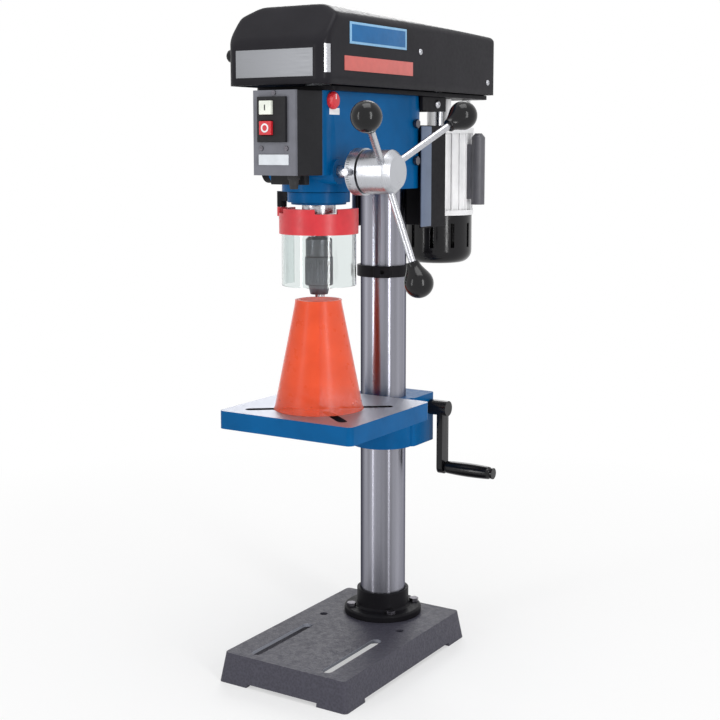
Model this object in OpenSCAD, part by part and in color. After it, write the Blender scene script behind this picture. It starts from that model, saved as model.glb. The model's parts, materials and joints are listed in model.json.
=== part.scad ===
/* [Base] */
// Width of the base foot
base_w = 204; // [180:1:240]
// Length of the base foot, front to back
base_l = 320; // [300:1:360]
// Height of the base
base_h = 40; // [30:1:60]
// How far the base walls lean in between foot and top
base_lean = 6; // [2:1:10]
// Wall thickness of the base casting
base_wall = 8; // [5:0.5:12]
// Foot length behind the column centre
base_rear = 62; // [60:1:76]
// Diameter of the two bench bolt holes
bench_hole_d = 11; // [8:0.5:14]
// Distance between the bench bolt holes
bench_hole_spacing = 128; // [110:1:140]
// Distance from the bench bolt holes back to the column centre
bench_to_column = 60; // [58:1:75]
// Width of the long clamping slots in the base
base_slot_w = 14; // [10:0.5:18]
// Length of the long clamping slots in the base
base_slot_l = 120; // [80:1:130]
// Distance between the two long slots
base_slot_spacing = 114; // [90:1:130]

/* [Column] */
// Outer diameter of the column
column_d = 65; // [60:0.5:68]
// Wall thickness of the column tube
column_wall = 4; // [3:0.5:8]
// Diameter of the flange at the foot of the column
flange_d = 112; // [108:1:118]
// Height of the flange above the base
flange_h = 36; // [18:1:40]
// Height of the rack ring's lower face above the bench
rack_ring_z = 533; // [500:1:560]
// Height of the rack ring
rack_ring_h = 16; // [12:1:30]

/* [Head] */
// Height of the head's underside above the bench
head_z = 657; // [650:1:680]
// Height of the head casting
head_h = 127; // [120:1:140]
// Width of the head casting
head_w = 96; // [92:1:104]
// Distance from column centre to spindle centre
throat = 164; // [155:1:175]
// Head length in front of the spindle centre
head_nose = 62; // [58:1:70]
// Radius of the barrel that grips the column
barrel_r = 50; // [46:0.5:54]
// Length of the round quill boss below the head
boss_h = 17; // [12:1:20]

/* [Quill and spindle] */
// Diameter of the quill
quill_d = 44; // [42:0.5:46]
// Drilling stroke
quill_stroke = 60; // [40:1:62]
// Diameter of the spindle
spindle_d = 20; // [16:0.5:22]
// Diameter of the chuck sleeve
chuck_d = 37; // [36:0.5:44]
// Length of the chuck
chuck_l = 76; // [72:1:84]

/* [Feed] */
// Height of the feed shaft above the head's underside
feed_up = 26.5; // [22:0.5:32]
// Diameter of the feed shaft
feed_shaft_d = 16; // [14:0.5:16.5]
// Diameter of the depth ring
depth_ring_d = 59; // [50:1:66]
// Radius of the circle through the lever knobs
lever_reach = 136; // [110:1:150]
// Diameter of the lever rods
lever_rod_d = 9; // [7:0.5:11]
// Diameter of the lever knobs
lever_knob_d = 37; // [30:1:42]
// Turn of the first lever at rest, from level
lever_phase = 31.4; // [0:0.1:60]

/* [Table] */
// Width of the table
table_w = 208; // [180:1:230]
// Length of the table, front to back
table_l = 200; // [180:1:204]
// Height of the table's top above the bench
table_z = 369; // [360:1:390]
// Depth of the table's edge
table_edge = 24; // [20:1:32]
// Thickness of the table's top plate
table_plate = 13; // [10:0.5:16]
// Width of the slanted table slots
table_slot_w = 13; // [10:0.5:16]
// Diameter of the table's centre hole
table_hole_d = 22; // [16:0.5:30]
// Length of the crank arm between centres
crank_reach = 86; // [70:1:100]
// Length of the crank grip
crank_grip_l = 74; // [50:1:90]

/* [Chip guard] */
// Top diameter of the conical chip guard
hood_top_d = 58; // [54:1:74]
// Foot diameter of the conical chip guard
hood_foot_d = 120; // [110:1:160]
// Wall thickness of the chip guard
hood_wall = 2.5; // [2:0.5:4]
// Free height between chip guard and chuck
hood_gap = 7; // [6:0.5:12]

/* [Chuck guard] */
// Outer diameter of the chuck guard's frame
guard_d = 104; // [100:1:134]
// Height of the guard frame
guard_frame_h = 33; // [24:1:40]
// Height of the clear shield below the frame
shield_h = 68; // [50:1:80]
// Wall thickness of the clear shield
shield_wall = 2.5; // [2:0.5:4]

/* [Belt cover] */
// Width of the belt cover
cover_w = 150; // [140:1:170]
// Length of the cover in front of the spindle centre
cover_front = 98; // [92:1:110]
// Length of the cover behind the motor centre
cover_rear = 36; // [34:1:60]
// Height of the belt cover
cover_h = 100; // [92:1:120]
// Height of the cover's upright front and sides
cover_skirt = 51; // [40:1:60]
// Wall thickness of the belt cover
cover_wall = 3; // [2:0.5:4]

/* [Drive] */
// Distance from column centre back to the motor centre
motor_back = 160; // [154:1:175]
// Diameter of the motor's body
motor_d = 106; // [100:1:114]
// Height of the motor's body
motor_h = 129; // [110:1:140]
// Pitch radius of the spindle sheave
spindle_sheave_r = 40; // [36:1:50]
// Pitch radius of the motor sheave
motor_sheave_r = 20; // [18:1:24]

/* [Switch] */
// Width of the switch fascia
fascia_w = 64; // [60:1:70]
// Height of the switch fascia
fascia_h = 105; // [100:1:115]
// Depth of the switch box in front of the head
switch_depth = 36; // [30:1:44]
// Travel of the two push buttons
button_travel = 3; // [2:0.5:4]

/* [Hidden] */
$fn = 64;

// Clearances
snug = 0.05;
run_fit = 0.08;
side_gap = 0.4;

// Paint and metal
blue = [0.02, 0.36, 0.62];
black = [0.06, 0.06, 0.07];
iron = [0.22, 0.23, 0.24];
steel = [0.72, 0.73, 0.75];
alloy = [0.82, 0.83, 0.84];
red = [0.85, 0.16, 0.17];
grey = [0.55, 0.56, 0.57];

// Heights and centre lines, from the driving sizes
column_y = bench_to_column;
column_r = column_d / 2;
spindle_y = column_y - throat;
motor_y = column_y + motor_back;
base_back_y = column_y + base_rear;
base_front_y = base_back_y - base_l;
flange_top = base_h + flange_h;
flange_plate = 10;
flange_bolt_r = flange_d / 2 - 9;
head_top = head_z + head_h;
head_front_y = spindle_y - head_nose;
boss_z = head_z - boss_h;
tray_t = 6;
tray_w = 124;
cover_z = head_top + tray_t;
column_top = head_top - 16;
feed_z = head_z + feed_up;

// Rack teeth, shared by the quill and the table
tooth_module = 1.5;
tooth_count = 14;
tooth_pitch = PI * tooth_module;
pitch_r = tooth_module * tooth_count / 2;
tooth_tip = 0.8 * tooth_module;
tooth_root = 1.1 * tooth_module;
tooth_play = 0.25;
flank_angle = 20;

quill_r = quill_d / 2;
quill_bore_r = quill_r + run_fit;
quill_pitch = quill_r - 2.5;
feed_y = spindle_y - quill_pitch - pitch_r;
feed_r = feed_shaft_d / 2;
quill_z = boss_z - 12;
quill_top = feed_z + quill_stroke + pitch_r + 2;
spindle_r = spindle_d / 2;
chuck_top = quill_z - 30;
chuck_z = chuck_top - chuck_l;
sleeve_r = spindle_r + 7;
bearing_h = 22;
bearing_z = head_top - bearing_h;
bearing_r = sleeve_r + 7;

belt_z = cover_z + 36;
belt_half_h = 6;
belt_half_t = 4;
sheave_half_h = 16;
spindle_top = cover_z + cover_h - cover_wall - 24;
motor_r = motor_d / 2;
standoff_h = 42;
motor_top = head_top - standoff_h;
motor_z = motor_top - motor_h;
bell_h = 72;
motor_shaft_r = 7;
cover_back_y = motor_y + cover_rear;
cover_front_y = spindle_y - cover_front;
hinge_y = cover_back_y + 6.5;
hinge_z = cover_z + 6.5;
hinge_pin_r = 2;
knuckle_r = 5;

fascia_z = head_top - fascia_h;
switch_front_y = head_front_y - switch_depth;
fascia_t = 4;

table_gap = 16.5;
table_back_y = column_y - column_r - table_gap;
table_front_y = table_back_y - table_l;
ear_face_y = table_back_y + 3;
tilt_drop = 40;
tilt_z = table_z - tilt_drop;
bracket_wall = 13;
collar_r = column_r + bracket_wall;
bracket_h = 70;
bracket_drop = 9;
bracket_z = table_z - bracket_drop - bracket_h;
rack_seat = column_r + run_fit;
rack_back = 6.5;
rack_w = 14;
crank_y = column_y + rack_seat + rack_back + pitch_r;
crank_z = bracket_z + 50;
crank_shaft_r = 8;
housing_x = 50;
guard_r = guard_d / 2;
guard_top = boss_z - 5;
guard_z = guard_top - guard_frame_h;
guard_pin_x = -guard_r - 7;
lever_x = 118;
lever_knob_x = 166;
lever_rake = atan((lever_knob_x - lever_x) / lever_reach);
lever_l = lever_reach / cos(lever_rake);

// Turns a shape drawn in Y and Z so that it is extruded along X from x_start
module along_x(x_start, length) {
    translate([x_start, 0, 0]) rotate([90, 0, 90]) linear_extrude(height = length) children();
}

// Round bar along X
module bar_x(x_start, length, r, y, z) {
    translate([x_start, y, z]) rotate([0, 90, 0]) cylinder(r = r, h = length);
}

// Round bar along Y
module bar_y(y_start, length, r, x, z) {
    translate([x, y_start, z]) rotate([-90, 0, 0]) cylinder(r = r, h = length);
}

// Ring standing on the XY plane
module ring(outer, inner, h) {
    difference() {
        cylinder(r = outer, h = h);
        translate([0, 0, -1]) cylinder(r = inner, h = h + 2);
    }
}

// Flat block with round upright corners, from its low corner
module slab(size, r) {
    translate([r, 0, 0]) cube([size.x - 2 * r, size.y, size.z]);
    translate([0, r, 0]) cube([size.x, size.y - 2 * r, size.z]);
    for (x = [r, size.x - r], y = [r, size.y - r]) translate([x, y, 0]) cylinder(r = r, h = size.z);
}

// Straight slot with round ends between two points
module slot(a, b, w, h) {
    run = b - a;
    translate([a.x, a.y, 0]) rotate([0, 0, atan2(run.y, run.x)]) {
        cylinder(d = w, h = h);
        translate([0, -w / 2, 0]) cube([norm(run), w, h]);
        translate([norm(run), 0, 0]) cylinder(d = w, h = h);
    }
}

// Rack flanks as [height over the pitch line, place along the rack]
function rack_teeth(first, count) = [
    for (i = [0 : count - 1])
        let (c = first + i * tooth_pitch, t = tooth_pitch / 4 - tooth_play / 2, k = tan(flank_angle))
        each [[-tooth_root, c - t - tooth_root * k], [tooth_tip, c - t + tooth_tip * k],
            [tooth_tip, c + t - tooth_tip * k], [-tooth_root, c + t + tooth_root * k]]
];

// Involute pinion outline, with a gap centred on its first axis
function involute(a) = tan(a) * 180 / PI - a;
function flank(r) = 90 / tooth_count - tooth_play / 2 / pitch_r * 180 / PI + involute(flank_angle)
    - involute(acos(min(1, pitch_r * cos(flank_angle) / r)));
tooth_radii = [pitch_r - tooth_root, pitch_r * cos(flank_angle) + 0.01, pitch_r - 0.3,
    pitch_r + 0.4, pitch_r + tooth_tip];
function polar(r, a) = [r * cos(a), r * sin(a)];
pinion_points = [
    for (i = [0 : tooth_count - 1])
        let (mid = (i + 0.5) * 360 / tooth_count)
        each concat([for (r = tooth_radii) polar(r, mid - flank(r))],
            [for (k = [len(tooth_radii) - 1 : -1 : 0]) polar(tooth_radii[k], mid + flank(tooth_radii[k]))])
];

// Drafted block standing on the bench, inset all round by a wall
module base_block(inset, top) {
    corner = 6;
    foot = [base_w / 2 - inset - corner, base_l / 2 - inset - corner];
    head = [foot.x - base_lean, foot.y - base_lean];
    translate([0, (base_front_y + base_back_y) / 2, 0]) hull() {
        for (x = [-1, 1], y = [-1, 1]) {
            translate([x * foot.x, y * foot.y, 0]) cylinder(r = corner, h = 0.5, $fn = 32);
            translate([x * head.x, y * head.y, top - 0.5]) cylinder(r = corner, h = 0.5, $fn = 32);
        }
    }
}

// Places of the four flange bolts
module flange_bolt_places() {
    for (a = [45 : 90 : 315]) translate([0, column_y, 0]) rotate([0, 0, a])
        translate([flange_bolt_r, 0, 0]) children();
}

module base() {
    slot_back_y = -52;
    foot_cut = 5;
    foot_l = 46;
    slot_lip = 4.5;
    lip_w = 6;
    color(iron) difference() {
        union() {
            difference() {
                base_block(0, base_h);
                translate([0, 0, -1]) base_block(base_wall, base_h - base_wall + 1);
                translate([-base_w, base_front_y + foot_l, -1])
                    cube([2 * base_w, base_l - 2 * foot_l, foot_cut + 1]);
                translate([-base_w / 2 + foot_l, base_front_y - 1, -1])
                    cube([base_w - 2 * foot_l, base_l + 2, foot_cut + 1]);
            }
            for (x = [-1, 1]) translate([x * bench_hole_spacing / 2, 0, 0])
                cylinder(r = bench_hole_d / 2 + 8, h = base_h - 1);
        }
        for (x = [-1, 1]) {
            translate([x * bench_hole_spacing / 2, 0, -1]) cylinder(d = bench_hole_d, h = base_h + 2);
            translate([0, 0, base_h - base_wall - 1])
                slot([x * base_slot_spacing / 2, slot_back_y - base_slot_l],
                [x * base_slot_spacing / 2, slot_back_y], base_slot_w, base_wall + 2);
            translate([0, 0, base_h - base_wall - 1])
                slot([x * base_slot_spacing / 2, slot_back_y - base_slot_l],
                [x * base_slot_spacing / 2, slot_back_y], base_slot_w + 2 * lip_w,
                base_wall + 1 - slot_lip);
        }
        flange_bolt_places() translate([0, 0, base_h - base_wall - 1])
            cylinder(r = 4 + snug, h = base_wall + 2);
    }
}

module column_flange() {
    hub_r = column_r + 5;
    color(black) translate([0, column_y, base_h]) difference() {
        union() {
            cylinder(r = flange_d / 2, h = flange_plate - 2);
            translate([0, 0, flange_plate - 2]) cylinder(r1 = flange_d / 2, r2 = flange_d / 2 - 3, h = 2);
            cylinder(r = hub_r, h = flange_h);
            translate([0, 0, flange_plate]) cylinder(r1 = hub_r + 2.5, r2 = hub_r, h = 2.5);
        }
        translate([0, 0, -1]) cylinder(r = column_r + snug, h = flange_h + 2);
        translate([0, -column_y, -base_h]) flange_bolt_places() translate([0, 0, base_h - 1])
            cylinder(r = 4 + snug, h = flange_h);
    }
}

module flange_bolts() {
    color(black) flange_bolt_places() {
        translate([0, 0, base_h - base_wall]) cylinder(r = 4, h = base_wall + flange_plate);
        translate([0, 0, base_h + flange_plate]) cylinder(r = 7, h = 5, $fn = 6);
    }
}

module column() {
    color(steel) translate([0, column_y, base_h])
        ring(column_r, column_r - column_wall, column_top - base_h);
}

module rack_ring() {
    ring_wall = 5;
    pad_w = 24;
    pad_t = 5;
    pad_turn = 28;
    set_screw_r = 3;
    color(black) translate([0, column_y, rack_ring_z]) rotate([0, 0, pad_turn]) difference() {
        union() {
            cylinder(r = column_r + ring_wall, h = rack_ring_h);
            translate([-pad_w / 2, -column_r - ring_wall - pad_t, 0])
                cube([pad_w, column_r, rack_ring_h]);
        }
        translate([0, 0, -1]) cylinder(r = column_r + snug, h = rack_ring_h + 2);
        translate([0, 0, rack_ring_h / 2]) rotate([90, 0, 0]) translate([0, 0, column_r + 4])
            cylinder(r = set_screw_r, h = 12, $fn = 6);
    }
}

module head_casting() {
    edge = 9;
    color(blue) difference() {
        union() {
            translate([-head_w / 2, head_front_y, fascia_z])
                slab([head_w, column_y - head_front_y, fascia_h], edge);
            translate([-head_w / 2, spindle_y, head_z]) cube([head_w, throat, head_h - fascia_h + 1]);
            translate([0, spindle_y, head_z]) cylinder(d = head_w, h = head_h - fascia_h + 1);
            translate([0, column_y, head_z]) cylinder(r = barrel_r, h = head_h);
            translate([0, spindle_y, boss_z]) cylinder(r = quill_r + 14, h = boss_h + 1);
            bar_x(-head_w / 2, head_w + 4, feed_r + 8, feed_y, feed_z);
        }
        translate([0, column_y, head_z - 1]) cylinder(r = column_r + snug, h = column_top - head_z + 1);
        translate([0, spindle_y, boss_z - 1]) cylinder(r = quill_bore_r, h = head_h + boss_h + 2);
        translate([0, spindle_y, bearing_z]) cylinder(r = bearing_r + snug, h = bearing_h + 1);
        translate([-head_w / 2 + 10, spindle_y + quill_r + 14, head_z + 10])
            cube([head_w - 20, throat - quill_r - 24 - column_r, head_h]);
        bar_x(-head_w, 2 * head_w, feed_r + run_fit, feed_y, feed_z);
        bar_x(-17, 34, pitch_r + tooth_tip + 0.8, feed_y, feed_z);
        for (z = [0.3, 0.7]) bar_x(column_r - 1, barrel_r, 4 + snug, column_y, head_z + z * head_h);
        bar_x(head_w / 2 - 12, 14, 3 + run_fit, speed_y, speed_z);
    }
}

module head_clamp_screws() {
    color(black) for (z = [0.3, 0.7]) {
        bar_x(column_r + snug, barrel_r - column_r + 1, 4, column_y, head_z + z * head_h);
        translate([barrel_r + 1, column_y, head_z + z * head_h]) rotate([0, 90, 0])
            cylinder(r = 6.5, h = 5, $fn = 6);
    }
}

spring_cap_r = 16;
spring_cap_l = 11;
spring_arbor_r = 4.5;
module quill_spring_cap() {
    color(black) difference() {
        bar_x(-head_w / 2 - spring_cap_l, spring_cap_l, spring_cap_r, feed_y, feed_z);
        bar_x(-head_w / 2 - spring_cap_l + 3, spring_cap_l, spring_cap_r - 3, feed_y, feed_z);
        for (a = [0 : 90 : 270]) translate([-head_w / 2 - spring_cap_l - 1, feed_y, feed_z])
            rotate([a, 0, 0])
            translate([0, spring_cap_r - 6, 0]) rotate([0, 90, 0]) cylinder(r = 2, h = 2.5);
    }
}

// Flat clock spring, one strip wound from the shaft out to the cap
module quill_return_spring() {
    turns = 4;
    strip = 0.8;
    inner = spring_arbor_r + 1;
    outer = spring_cap_r - 4.6;
    steps = 20 * turns;
    centre = [for (i = [0 : steps]) [inner + (outer - inner) * i / steps, 360 * turns * i / steps]];
    color(steel) translate([0, feed_y, feed_z]) along_x(-head_w / 2 - spring_cap_l + 5, spring_cap_l - 8)
        polygon(concat([for (c = centre) polar(c[0], c[1])],
            [for (i = [steps : -1 : 0]) polar(centre[i][0] + strip, centre[i][1])]));
}

module belt_tray() {
    lug_x = 40;
    lug_w = 8;
    color(black) difference() {
        union() {
            translate([-tray_w / 2, head_front_y + 4, head_top])
                slab([tray_w, cover_back_y - head_front_y + 6, tray_t], 14);
            for (x = [-1, 1]) {
                translate([x * lug_x - lug_w / 2, hinge_y - knuckle_r, head_top])
                    cube([lug_w, 2 * knuckle_r, hinge_z - head_top]);
                bar_x(x * lug_x - lug_w / 2, lug_w, knuckle_r, hinge_y, hinge_z);
            }
        }
        translate([0, spindle_y, head_top - 1]) cylinder(r = sleeve_r + 3, h = tray_t + 2);
        translate([0, motor_y, head_top - 1]) cylinder(r = motor_shaft_r + 5, h = tray_t + 2);
        bar_x(-tray_w, 2 * tray_w, hinge_pin_r + snug, hinge_y, hinge_z);
    }
}

// Pressed steel cradle from the head's barrel back to the motor
module motor_bracket() {
    plate = 5;
    side_x = barrel_r + side_gap;
    front_y = column_y + 13;
    pad_y = motor_y - motor_r - 6;
    back_y = pad_y - 21;
    low_z = motor_z - 12;
    sight_x = -6;
    sight_h = 20;
    color(black) difference() {
        union() {
            for (x = [-side_x - plate, side_x]) translate([x, front_y, low_z])
                cube([plate, back_y - front_y, head_top - low_z]);
            translate([-side_x, back_y - plate, low_z]) cube([2 * side_x, plate, head_top - low_z]);
            translate([-side_x, column_y + barrel_r, head_z]) cube([2 * side_x, plate, head_h]);
            translate([-18, back_y, motor_z + 16]) cube([36, pad_y - back_y, motor_h - 32]);
        }
        translate([sight_x, column_y, motor_top + 2])
            cube([side_x + plate + 1 - sight_x, back_y - column_y + 1, sight_h]);
    }
}

// Four spacers that hang the motor from the tray
module motor_standoffs() {
    color(grey) for (a = [45 : 90 : 315]) translate([0, motor_y, motor_top]) rotate([0, 0, a])
        translate([motor_r - 10, 0, 0]) cylinder(r = 6, h = standoff_h);
}

fin_inset = 1;
module motor_housing() {
    fins = 24;
    fin_depth = 4;
    plate_t = 8;
    flat_y = motor_y - motor_r - 6;
    color(alloy) difference() {
        union() {
            translate([0, motor_y, motor_z]) cylinder(r = motor_r - fin_depth, h = motor_h);
            for (i = [0 : fins - 1]) translate([0, motor_y, motor_z + plate_t / 2])
                rotate([0, 0, (i + 0.5) * 360 / fins]) translate([motor_r - fin_depth - fin_inset, -1.5, 0])
                    cube([fin_depth, 3, motor_h - plate_t]);
            translate([0, motor_y, motor_z]) cylinder(r = motor_r, h = plate_t);
            translate([0, motor_y, motor_top - plate_t]) cylinder(r = motor_r, h = plate_t);
            translate([-18, flat_y, motor_z + 16]) cube([36, motor_r, motor_h - 32]);
        }
        translate([0, motor_y, motor_z - 1]) cylinder(r = rotor_r + 2, h = motor_h - plate_t + 1);
        translate([0, motor_y, motor_z]) cylinder(r = motor_bearing_r + snug, h = motor_h + 1);
    }
}

rotor_r = 30;
motor_bearing_r = 16;
bell_r = motor_r - 2;
module motor_end_bell() {
    vents = 10;
    shell = 4;
    floor_r = 18;
    low = motor_z - bell_h;
    color(black) difference() {
        translate([0, motor_y, 0]) rotate_extrude() polygon([
            [0, low], [bell_r - floor_r, low],
            for (a = [-90 : 10 : 0]) [bell_r - floor_r, low + floor_r] + polar(floor_r, a),
            [bell_r, motor_z], [bell_r - shell, motor_z],
            for (a = [0 : -10 : -90]) [bell_r - floor_r, low + floor_r] + polar(floor_r - shell, a),
            [motor_bearing_r + 4, low + shell], [motor_bearing_r + 4, low + 18],
                [motor_bearing_r + snug, low + 18],
            [motor_bearing_r + snug, low + 6], [0, low + 6]]);
        for (i = [0 : vents - 1]) translate([0, motor_y, low + 24]) rotate([0, 0, i * 360 / vents])
            translate([bell_r - 2 * shell, -3, 0]) cube([4 * shell, 6, bell_h - 36]);
    }
}

capacitor_r = 10;
module motor_capacitor() {
    saddle = 4;
    cap_x = motor_r + saddle + capacitor_r;
    low = motor_z + 16;
    tall = motor_h - 24;
    color(iron) difference() {
        union() {
            translate([cap_x, motor_y, low]) cylinder(r = capacitor_r, h = tall - 6);
            translate([cap_x, motor_y, low + tall - 6])
                cylinder(r1 = capacitor_r, r2 = capacitor_r - 5, h = 6);
            translate([motor_r - 8, motor_y - 7, low + 8]) cube([capacitor_r + saddle + 2, 14, tall - 24]);
        }
        translate([0, motor_y, low - 1]) cylinder(r = motor_r - fin_inset + side_gap, h = tall + 2);
    }
}

module motor_bearings() {
    low = motor_z - bell_h + 6;
    color(steel) translate([0, motor_y, 0]) {
        translate([0, 0, low]) ring(motor_bearing_r, motor_shaft_r + run_fit, 10);
        translate([0, 0, motor_top - 8]) ring(motor_bearing_r, motor_shaft_r + run_fit, 8);
    }
}

// Rubber cord entry under the rear of the switch box
module cord_gland() {
    color(black) translate([fascia_w / 2 - 14, head_front_y - 20, fascia_z]) mirror([0, 0, 1])
        difference() {
        union() {
            cylinder(r = 8, h = 5);
            translate([0, 0, 5]) cylinder(r1 = 6.5, r2 = 5, h = 12);
        }
        translate([0, 0, 3]) cylinder(r = 3.5, h = 20);
    }
}

bezel_x = -fascia_w / 2 + 9;
bezel_w = 43;
bezel_h = 56;
bezel_z = head_top - 8 - bezel_h;
bezel_t = 5;
button_w = 18;
button_h = 17;
button_x = bezel_x + 6;
start_z = bezel_z + bezel_h - 5 - button_h;
stop_z = bezel_z + 9;
display_x = bezel_x;
display_w = 45;
display_h = 13;
display_z = bezel_z - 15 - display_h;

module switch_box() {
    wall = 2.5;
    step_left = 25;
    step_right = 28;
    step_h = 12;
    step_t = 10;
    front_y = switch_front_y + fascia_t;
    outer = [[-fascia_w / 2, front_y], [fascia_w / 2, front_y], [head_w / 2, head_front_y],
        [-head_w / 2, head_front_y]];
    room = [[-fascia_w / 2 + wall, front_y - 1], [fascia_w / 2 - wall, front_y - 1],
        [head_w / 2 - 2 * wall, head_front_y - wall], [-head_w / 2 + 2 * wall, head_front_y - wall]];
    color(black) difference() {
        union() {
            translate([0, 0, fascia_z]) linear_extrude(height = fascia_h) polygon(outer);
            translate([-step_left, head_front_y - step_t, fascia_z - step_h])
                cube([step_left + step_right, step_t, step_h + 1]);
        }
        translate([0, 0, fascia_z + wall]) linear_extrude(height = fascia_h - 2 * wall) polygon(room);
    }
}

module switch_fascia() {
    color(grey) difference() {
        translate([-fascia_w / 2, switch_front_y, fascia_z]) cube([fascia_w, fascia_t, fascia_h]);
        translate([bezel_x + 2, switch_front_y - 1, bezel_z + 2])
            cube([bezel_w - 4, fascia_t + 2, bezel_h - 4]);
        translate([display_x + 1.5, switch_front_y - 1, display_z + 1.5])
            cube([display_w - 3, fascia_t + 2, display_h - 3]);
        fascia_screw_places() translate([0, switch_front_y - 1, 0]) bar_y(0, fascia_t + 2, 1.6, 0, 0);
    }
}

// One screw over the bezel and two between bezel and display
module fascia_screw_places() {
    inset = 3.5;
    low = (bezel_z + display_z + display_h) / 2;
    places = [[0, fascia_z + fascia_h - inset], [display_x + inset, low],
        [display_x + display_w - inset, low]];
    for (p = places) translate([p.x, 0, p.y]) children();
}

module fascia_screws() {
    color(steel) fascia_screw_places() difference() {
        union() {
            bar_y(switch_front_y - 1.6, 1.6, 3, 0, 0);
            bar_y(switch_front_y, fascia_t, 1.5, 0, 0);
        }
        translate([-4, switch_front_y - 2, -0.4]) cube([8, 1, 0.8]);
    }
}

module switch_bezel() {
    lip = 3;
    color(black) difference() {
        union() {
            translate([bezel_x, switch_front_y - bezel_t, bezel_z]) cube([bezel_w, bezel_t, bezel_h]);
            translate([bezel_x + lip, switch_front_y, bezel_z + lip])
                cube([bezel_w - 2 * lip, fascia_t, bezel_h - 2 * lip]);
        }
        for (z = [start_z, stop_z])
            translate([button_x - side_gap, switch_front_y - bezel_t - 1, z - side_gap])
            cube([button_w + 2 * side_gap, bezel_t + fascia_t - 1, button_h + 2 * side_gap]);
    }
}

module speed_display() {
    color([0.72, 0.78, 0.76]) {
        translate([display_x, switch_front_y - 2, display_z]) cube([display_w, 2, display_h]);
        translate([display_x + 2, switch_front_y, display_z + 2])
            cube([display_w - 4, fascia_t - 1, display_h - 4]);
    }
}

module push_button(z) {
    sole = switch_front_y + fascia_t - 2 - button_travel - side_gap;
    face = switch_front_y - bezel_t - 1 - button_travel;
    translate([button_x, face, z]) cube([button_w, sole - face, button_h]);
}

module start_button() {
    color([0.86, 0.93, 0.88]) push_button(start_z);
}

module stop_button() {
    color(red) push_button(stop_z);
}

speed_y = head_front_y + 20;
speed_z = head_top - 12;
module speed_knob() {
    knob_r = 11;
    knob_l = 4;
    grips = 10;
    color(red) difference() {
        union() {
            bar_x(head_w / 2 - 10, 12, 3, speed_y, speed_z);
            bar_x(head_w / 2 + side_gap, knob_l, knob_r, speed_y, speed_z);
            translate([head_w / 2 + side_gap + knob_l, speed_y, speed_z]) rotate([0, 90, 0])
                cylinder(r1 = knob_r, r2 = knob_r - 2.5, h = 2.5);
        }
        for (i = [0 : grips - 1]) translate([head_w / 2 + 3, speed_y, speed_z])
            rotate([i * 360 / grips, 0, 0])
            translate([0, knob_r + 1, 0]) rotate([0, 90, 0]) cylinder(r = 1.9, h = 20, $fn = 24);
    }
}

module pulley_bearings() {
    race_h = 10;
    color(steel) for (z = [bearing_z, head_top - race_h]) translate([0, spindle_y, z])
        ring(bearing_r, sleeve_r + run_fit, race_h);
}

// V-belt: two arcs and two straight runs, flat sided, grown by an amount about its pitch line
module belt_body(grow, h) {
    lean = asin((spindle_sheave_r - motor_sheave_r) / (motor_y - spindle_y));
    front_r = spindle_sheave_r + grow;
    rear_r = motor_sheave_r + grow;
    tuck = 0.2;
    front = (front_r - tuck) * [cos(lean), sin(lean)];
    rear = (rear_r - tuck) * [cos(lean), sin(lean)];
    translate([0, spindle_y, 0]) cylinder(r = front_r, h = h);
    translate([0, motor_y, 0]) cylinder(r = rear_r, h = h);
    linear_extrude(height = h) polygon([
        [front.x, spindle_y + front.y], [rear.x, motor_y + rear.y],
        [-rear.x, motor_y + rear.y], [-front.x, spindle_y + front.y]]);
}

module drive_belt() {
    color(black) translate([0, 0, belt_z - belt_half_h]) difference() {
        belt_body(belt_half_t, 2 * belt_half_h);
        translate([0, 0, -1]) belt_body(-belt_half_t, 2 * belt_half_h + 2);
    }
}

// Grooved sheave about its own axis, half height either side of the belt line
module v_sheave(belt_r, bore) {
    groove_r = belt_r - belt_half_t - 0.4;
    rim_r = belt_r + 8;
    neck = belt_half_h + 0.5;
    mouth = neck + 4;
    rotate_extrude() polygon([[bore, -sheave_half_h], [rim_r, -sheave_half_h], [rim_r, -mouth],
        [groove_r, -neck],
        [groove_r, neck], [rim_r, mouth], [rim_r, sheave_half_h], [bore, sheave_half_h]]);
}

module motor_rotor() {
    core_z = motor_z + 20;
    color(steel) translate([0, motor_y, 0]) {
        translate([0, 0, motor_z - bell_h + 7])
            cylinder(r = motor_shaft_r, h = belt_z + sheave_half_h + 6 - motor_z + bell_h - 7);
        translate([0, 0, core_z]) cylinder(r = rotor_r, h = motor_h - 44);
    }
}

module motor_sheave() {
    color(iron) translate([0, motor_y, belt_z]) v_sheave(motor_sheave_r, motor_shaft_r + snug);
}

module spindle_sheave() {
    color(iron) translate([0, spindle_y, belt_z]) {
        v_sheave(spindle_sheave_r, spindle_r + run_fit);
        translate([0, 0, bearing_z - belt_z])
            ring(sleeve_r, spindle_r + run_fit, belt_z - sheave_half_h - bearing_z);
    }
}

quill_bearing_h = 12;
quill_bearing_r = spindle_r + 6;
module quill() {
    low_tooth = feed_z - 2 * tooth_pitch;
    gaps = ceil((quill_top - low_tooth) / tooth_pitch) + 1;
    far = pitch_r;
    cut = rack_teeth(low_tooth, gaps);
    color(steel) difference() {
        translate([0, spindle_y, quill_z]) cylinder(r = quill_r, h = quill_top - quill_z);
        translate([0, spindle_y, quill_z - 1]) cylinder(r = spindle_r + 1.5, h = quill_top - quill_z + 2);
        for (z = [quill_z - 1, quill_top - quill_bearing_h]) translate([0, spindle_y, z])
            cylinder(r = quill_bearing_r + snug, h = quill_bearing_h + 1);
        along_x(-quill_r, 2 * quill_r) polygon(concat(
            [for (p = cut) [spindle_y - quill_pitch - p.x, p.y]],
            [[spindle_y - quill_pitch - far, cut[len(cut) - 1].y],
                [spindle_y - quill_pitch - far, cut[0].y]]));
    }
}

module quill_bearings() {
    color(iron) for (z = [quill_z, quill_top - quill_bearing_h]) translate([0, spindle_y, z])
        ring(quill_bearing_r, spindle_r + run_fit, quill_bearing_h);
}

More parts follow.
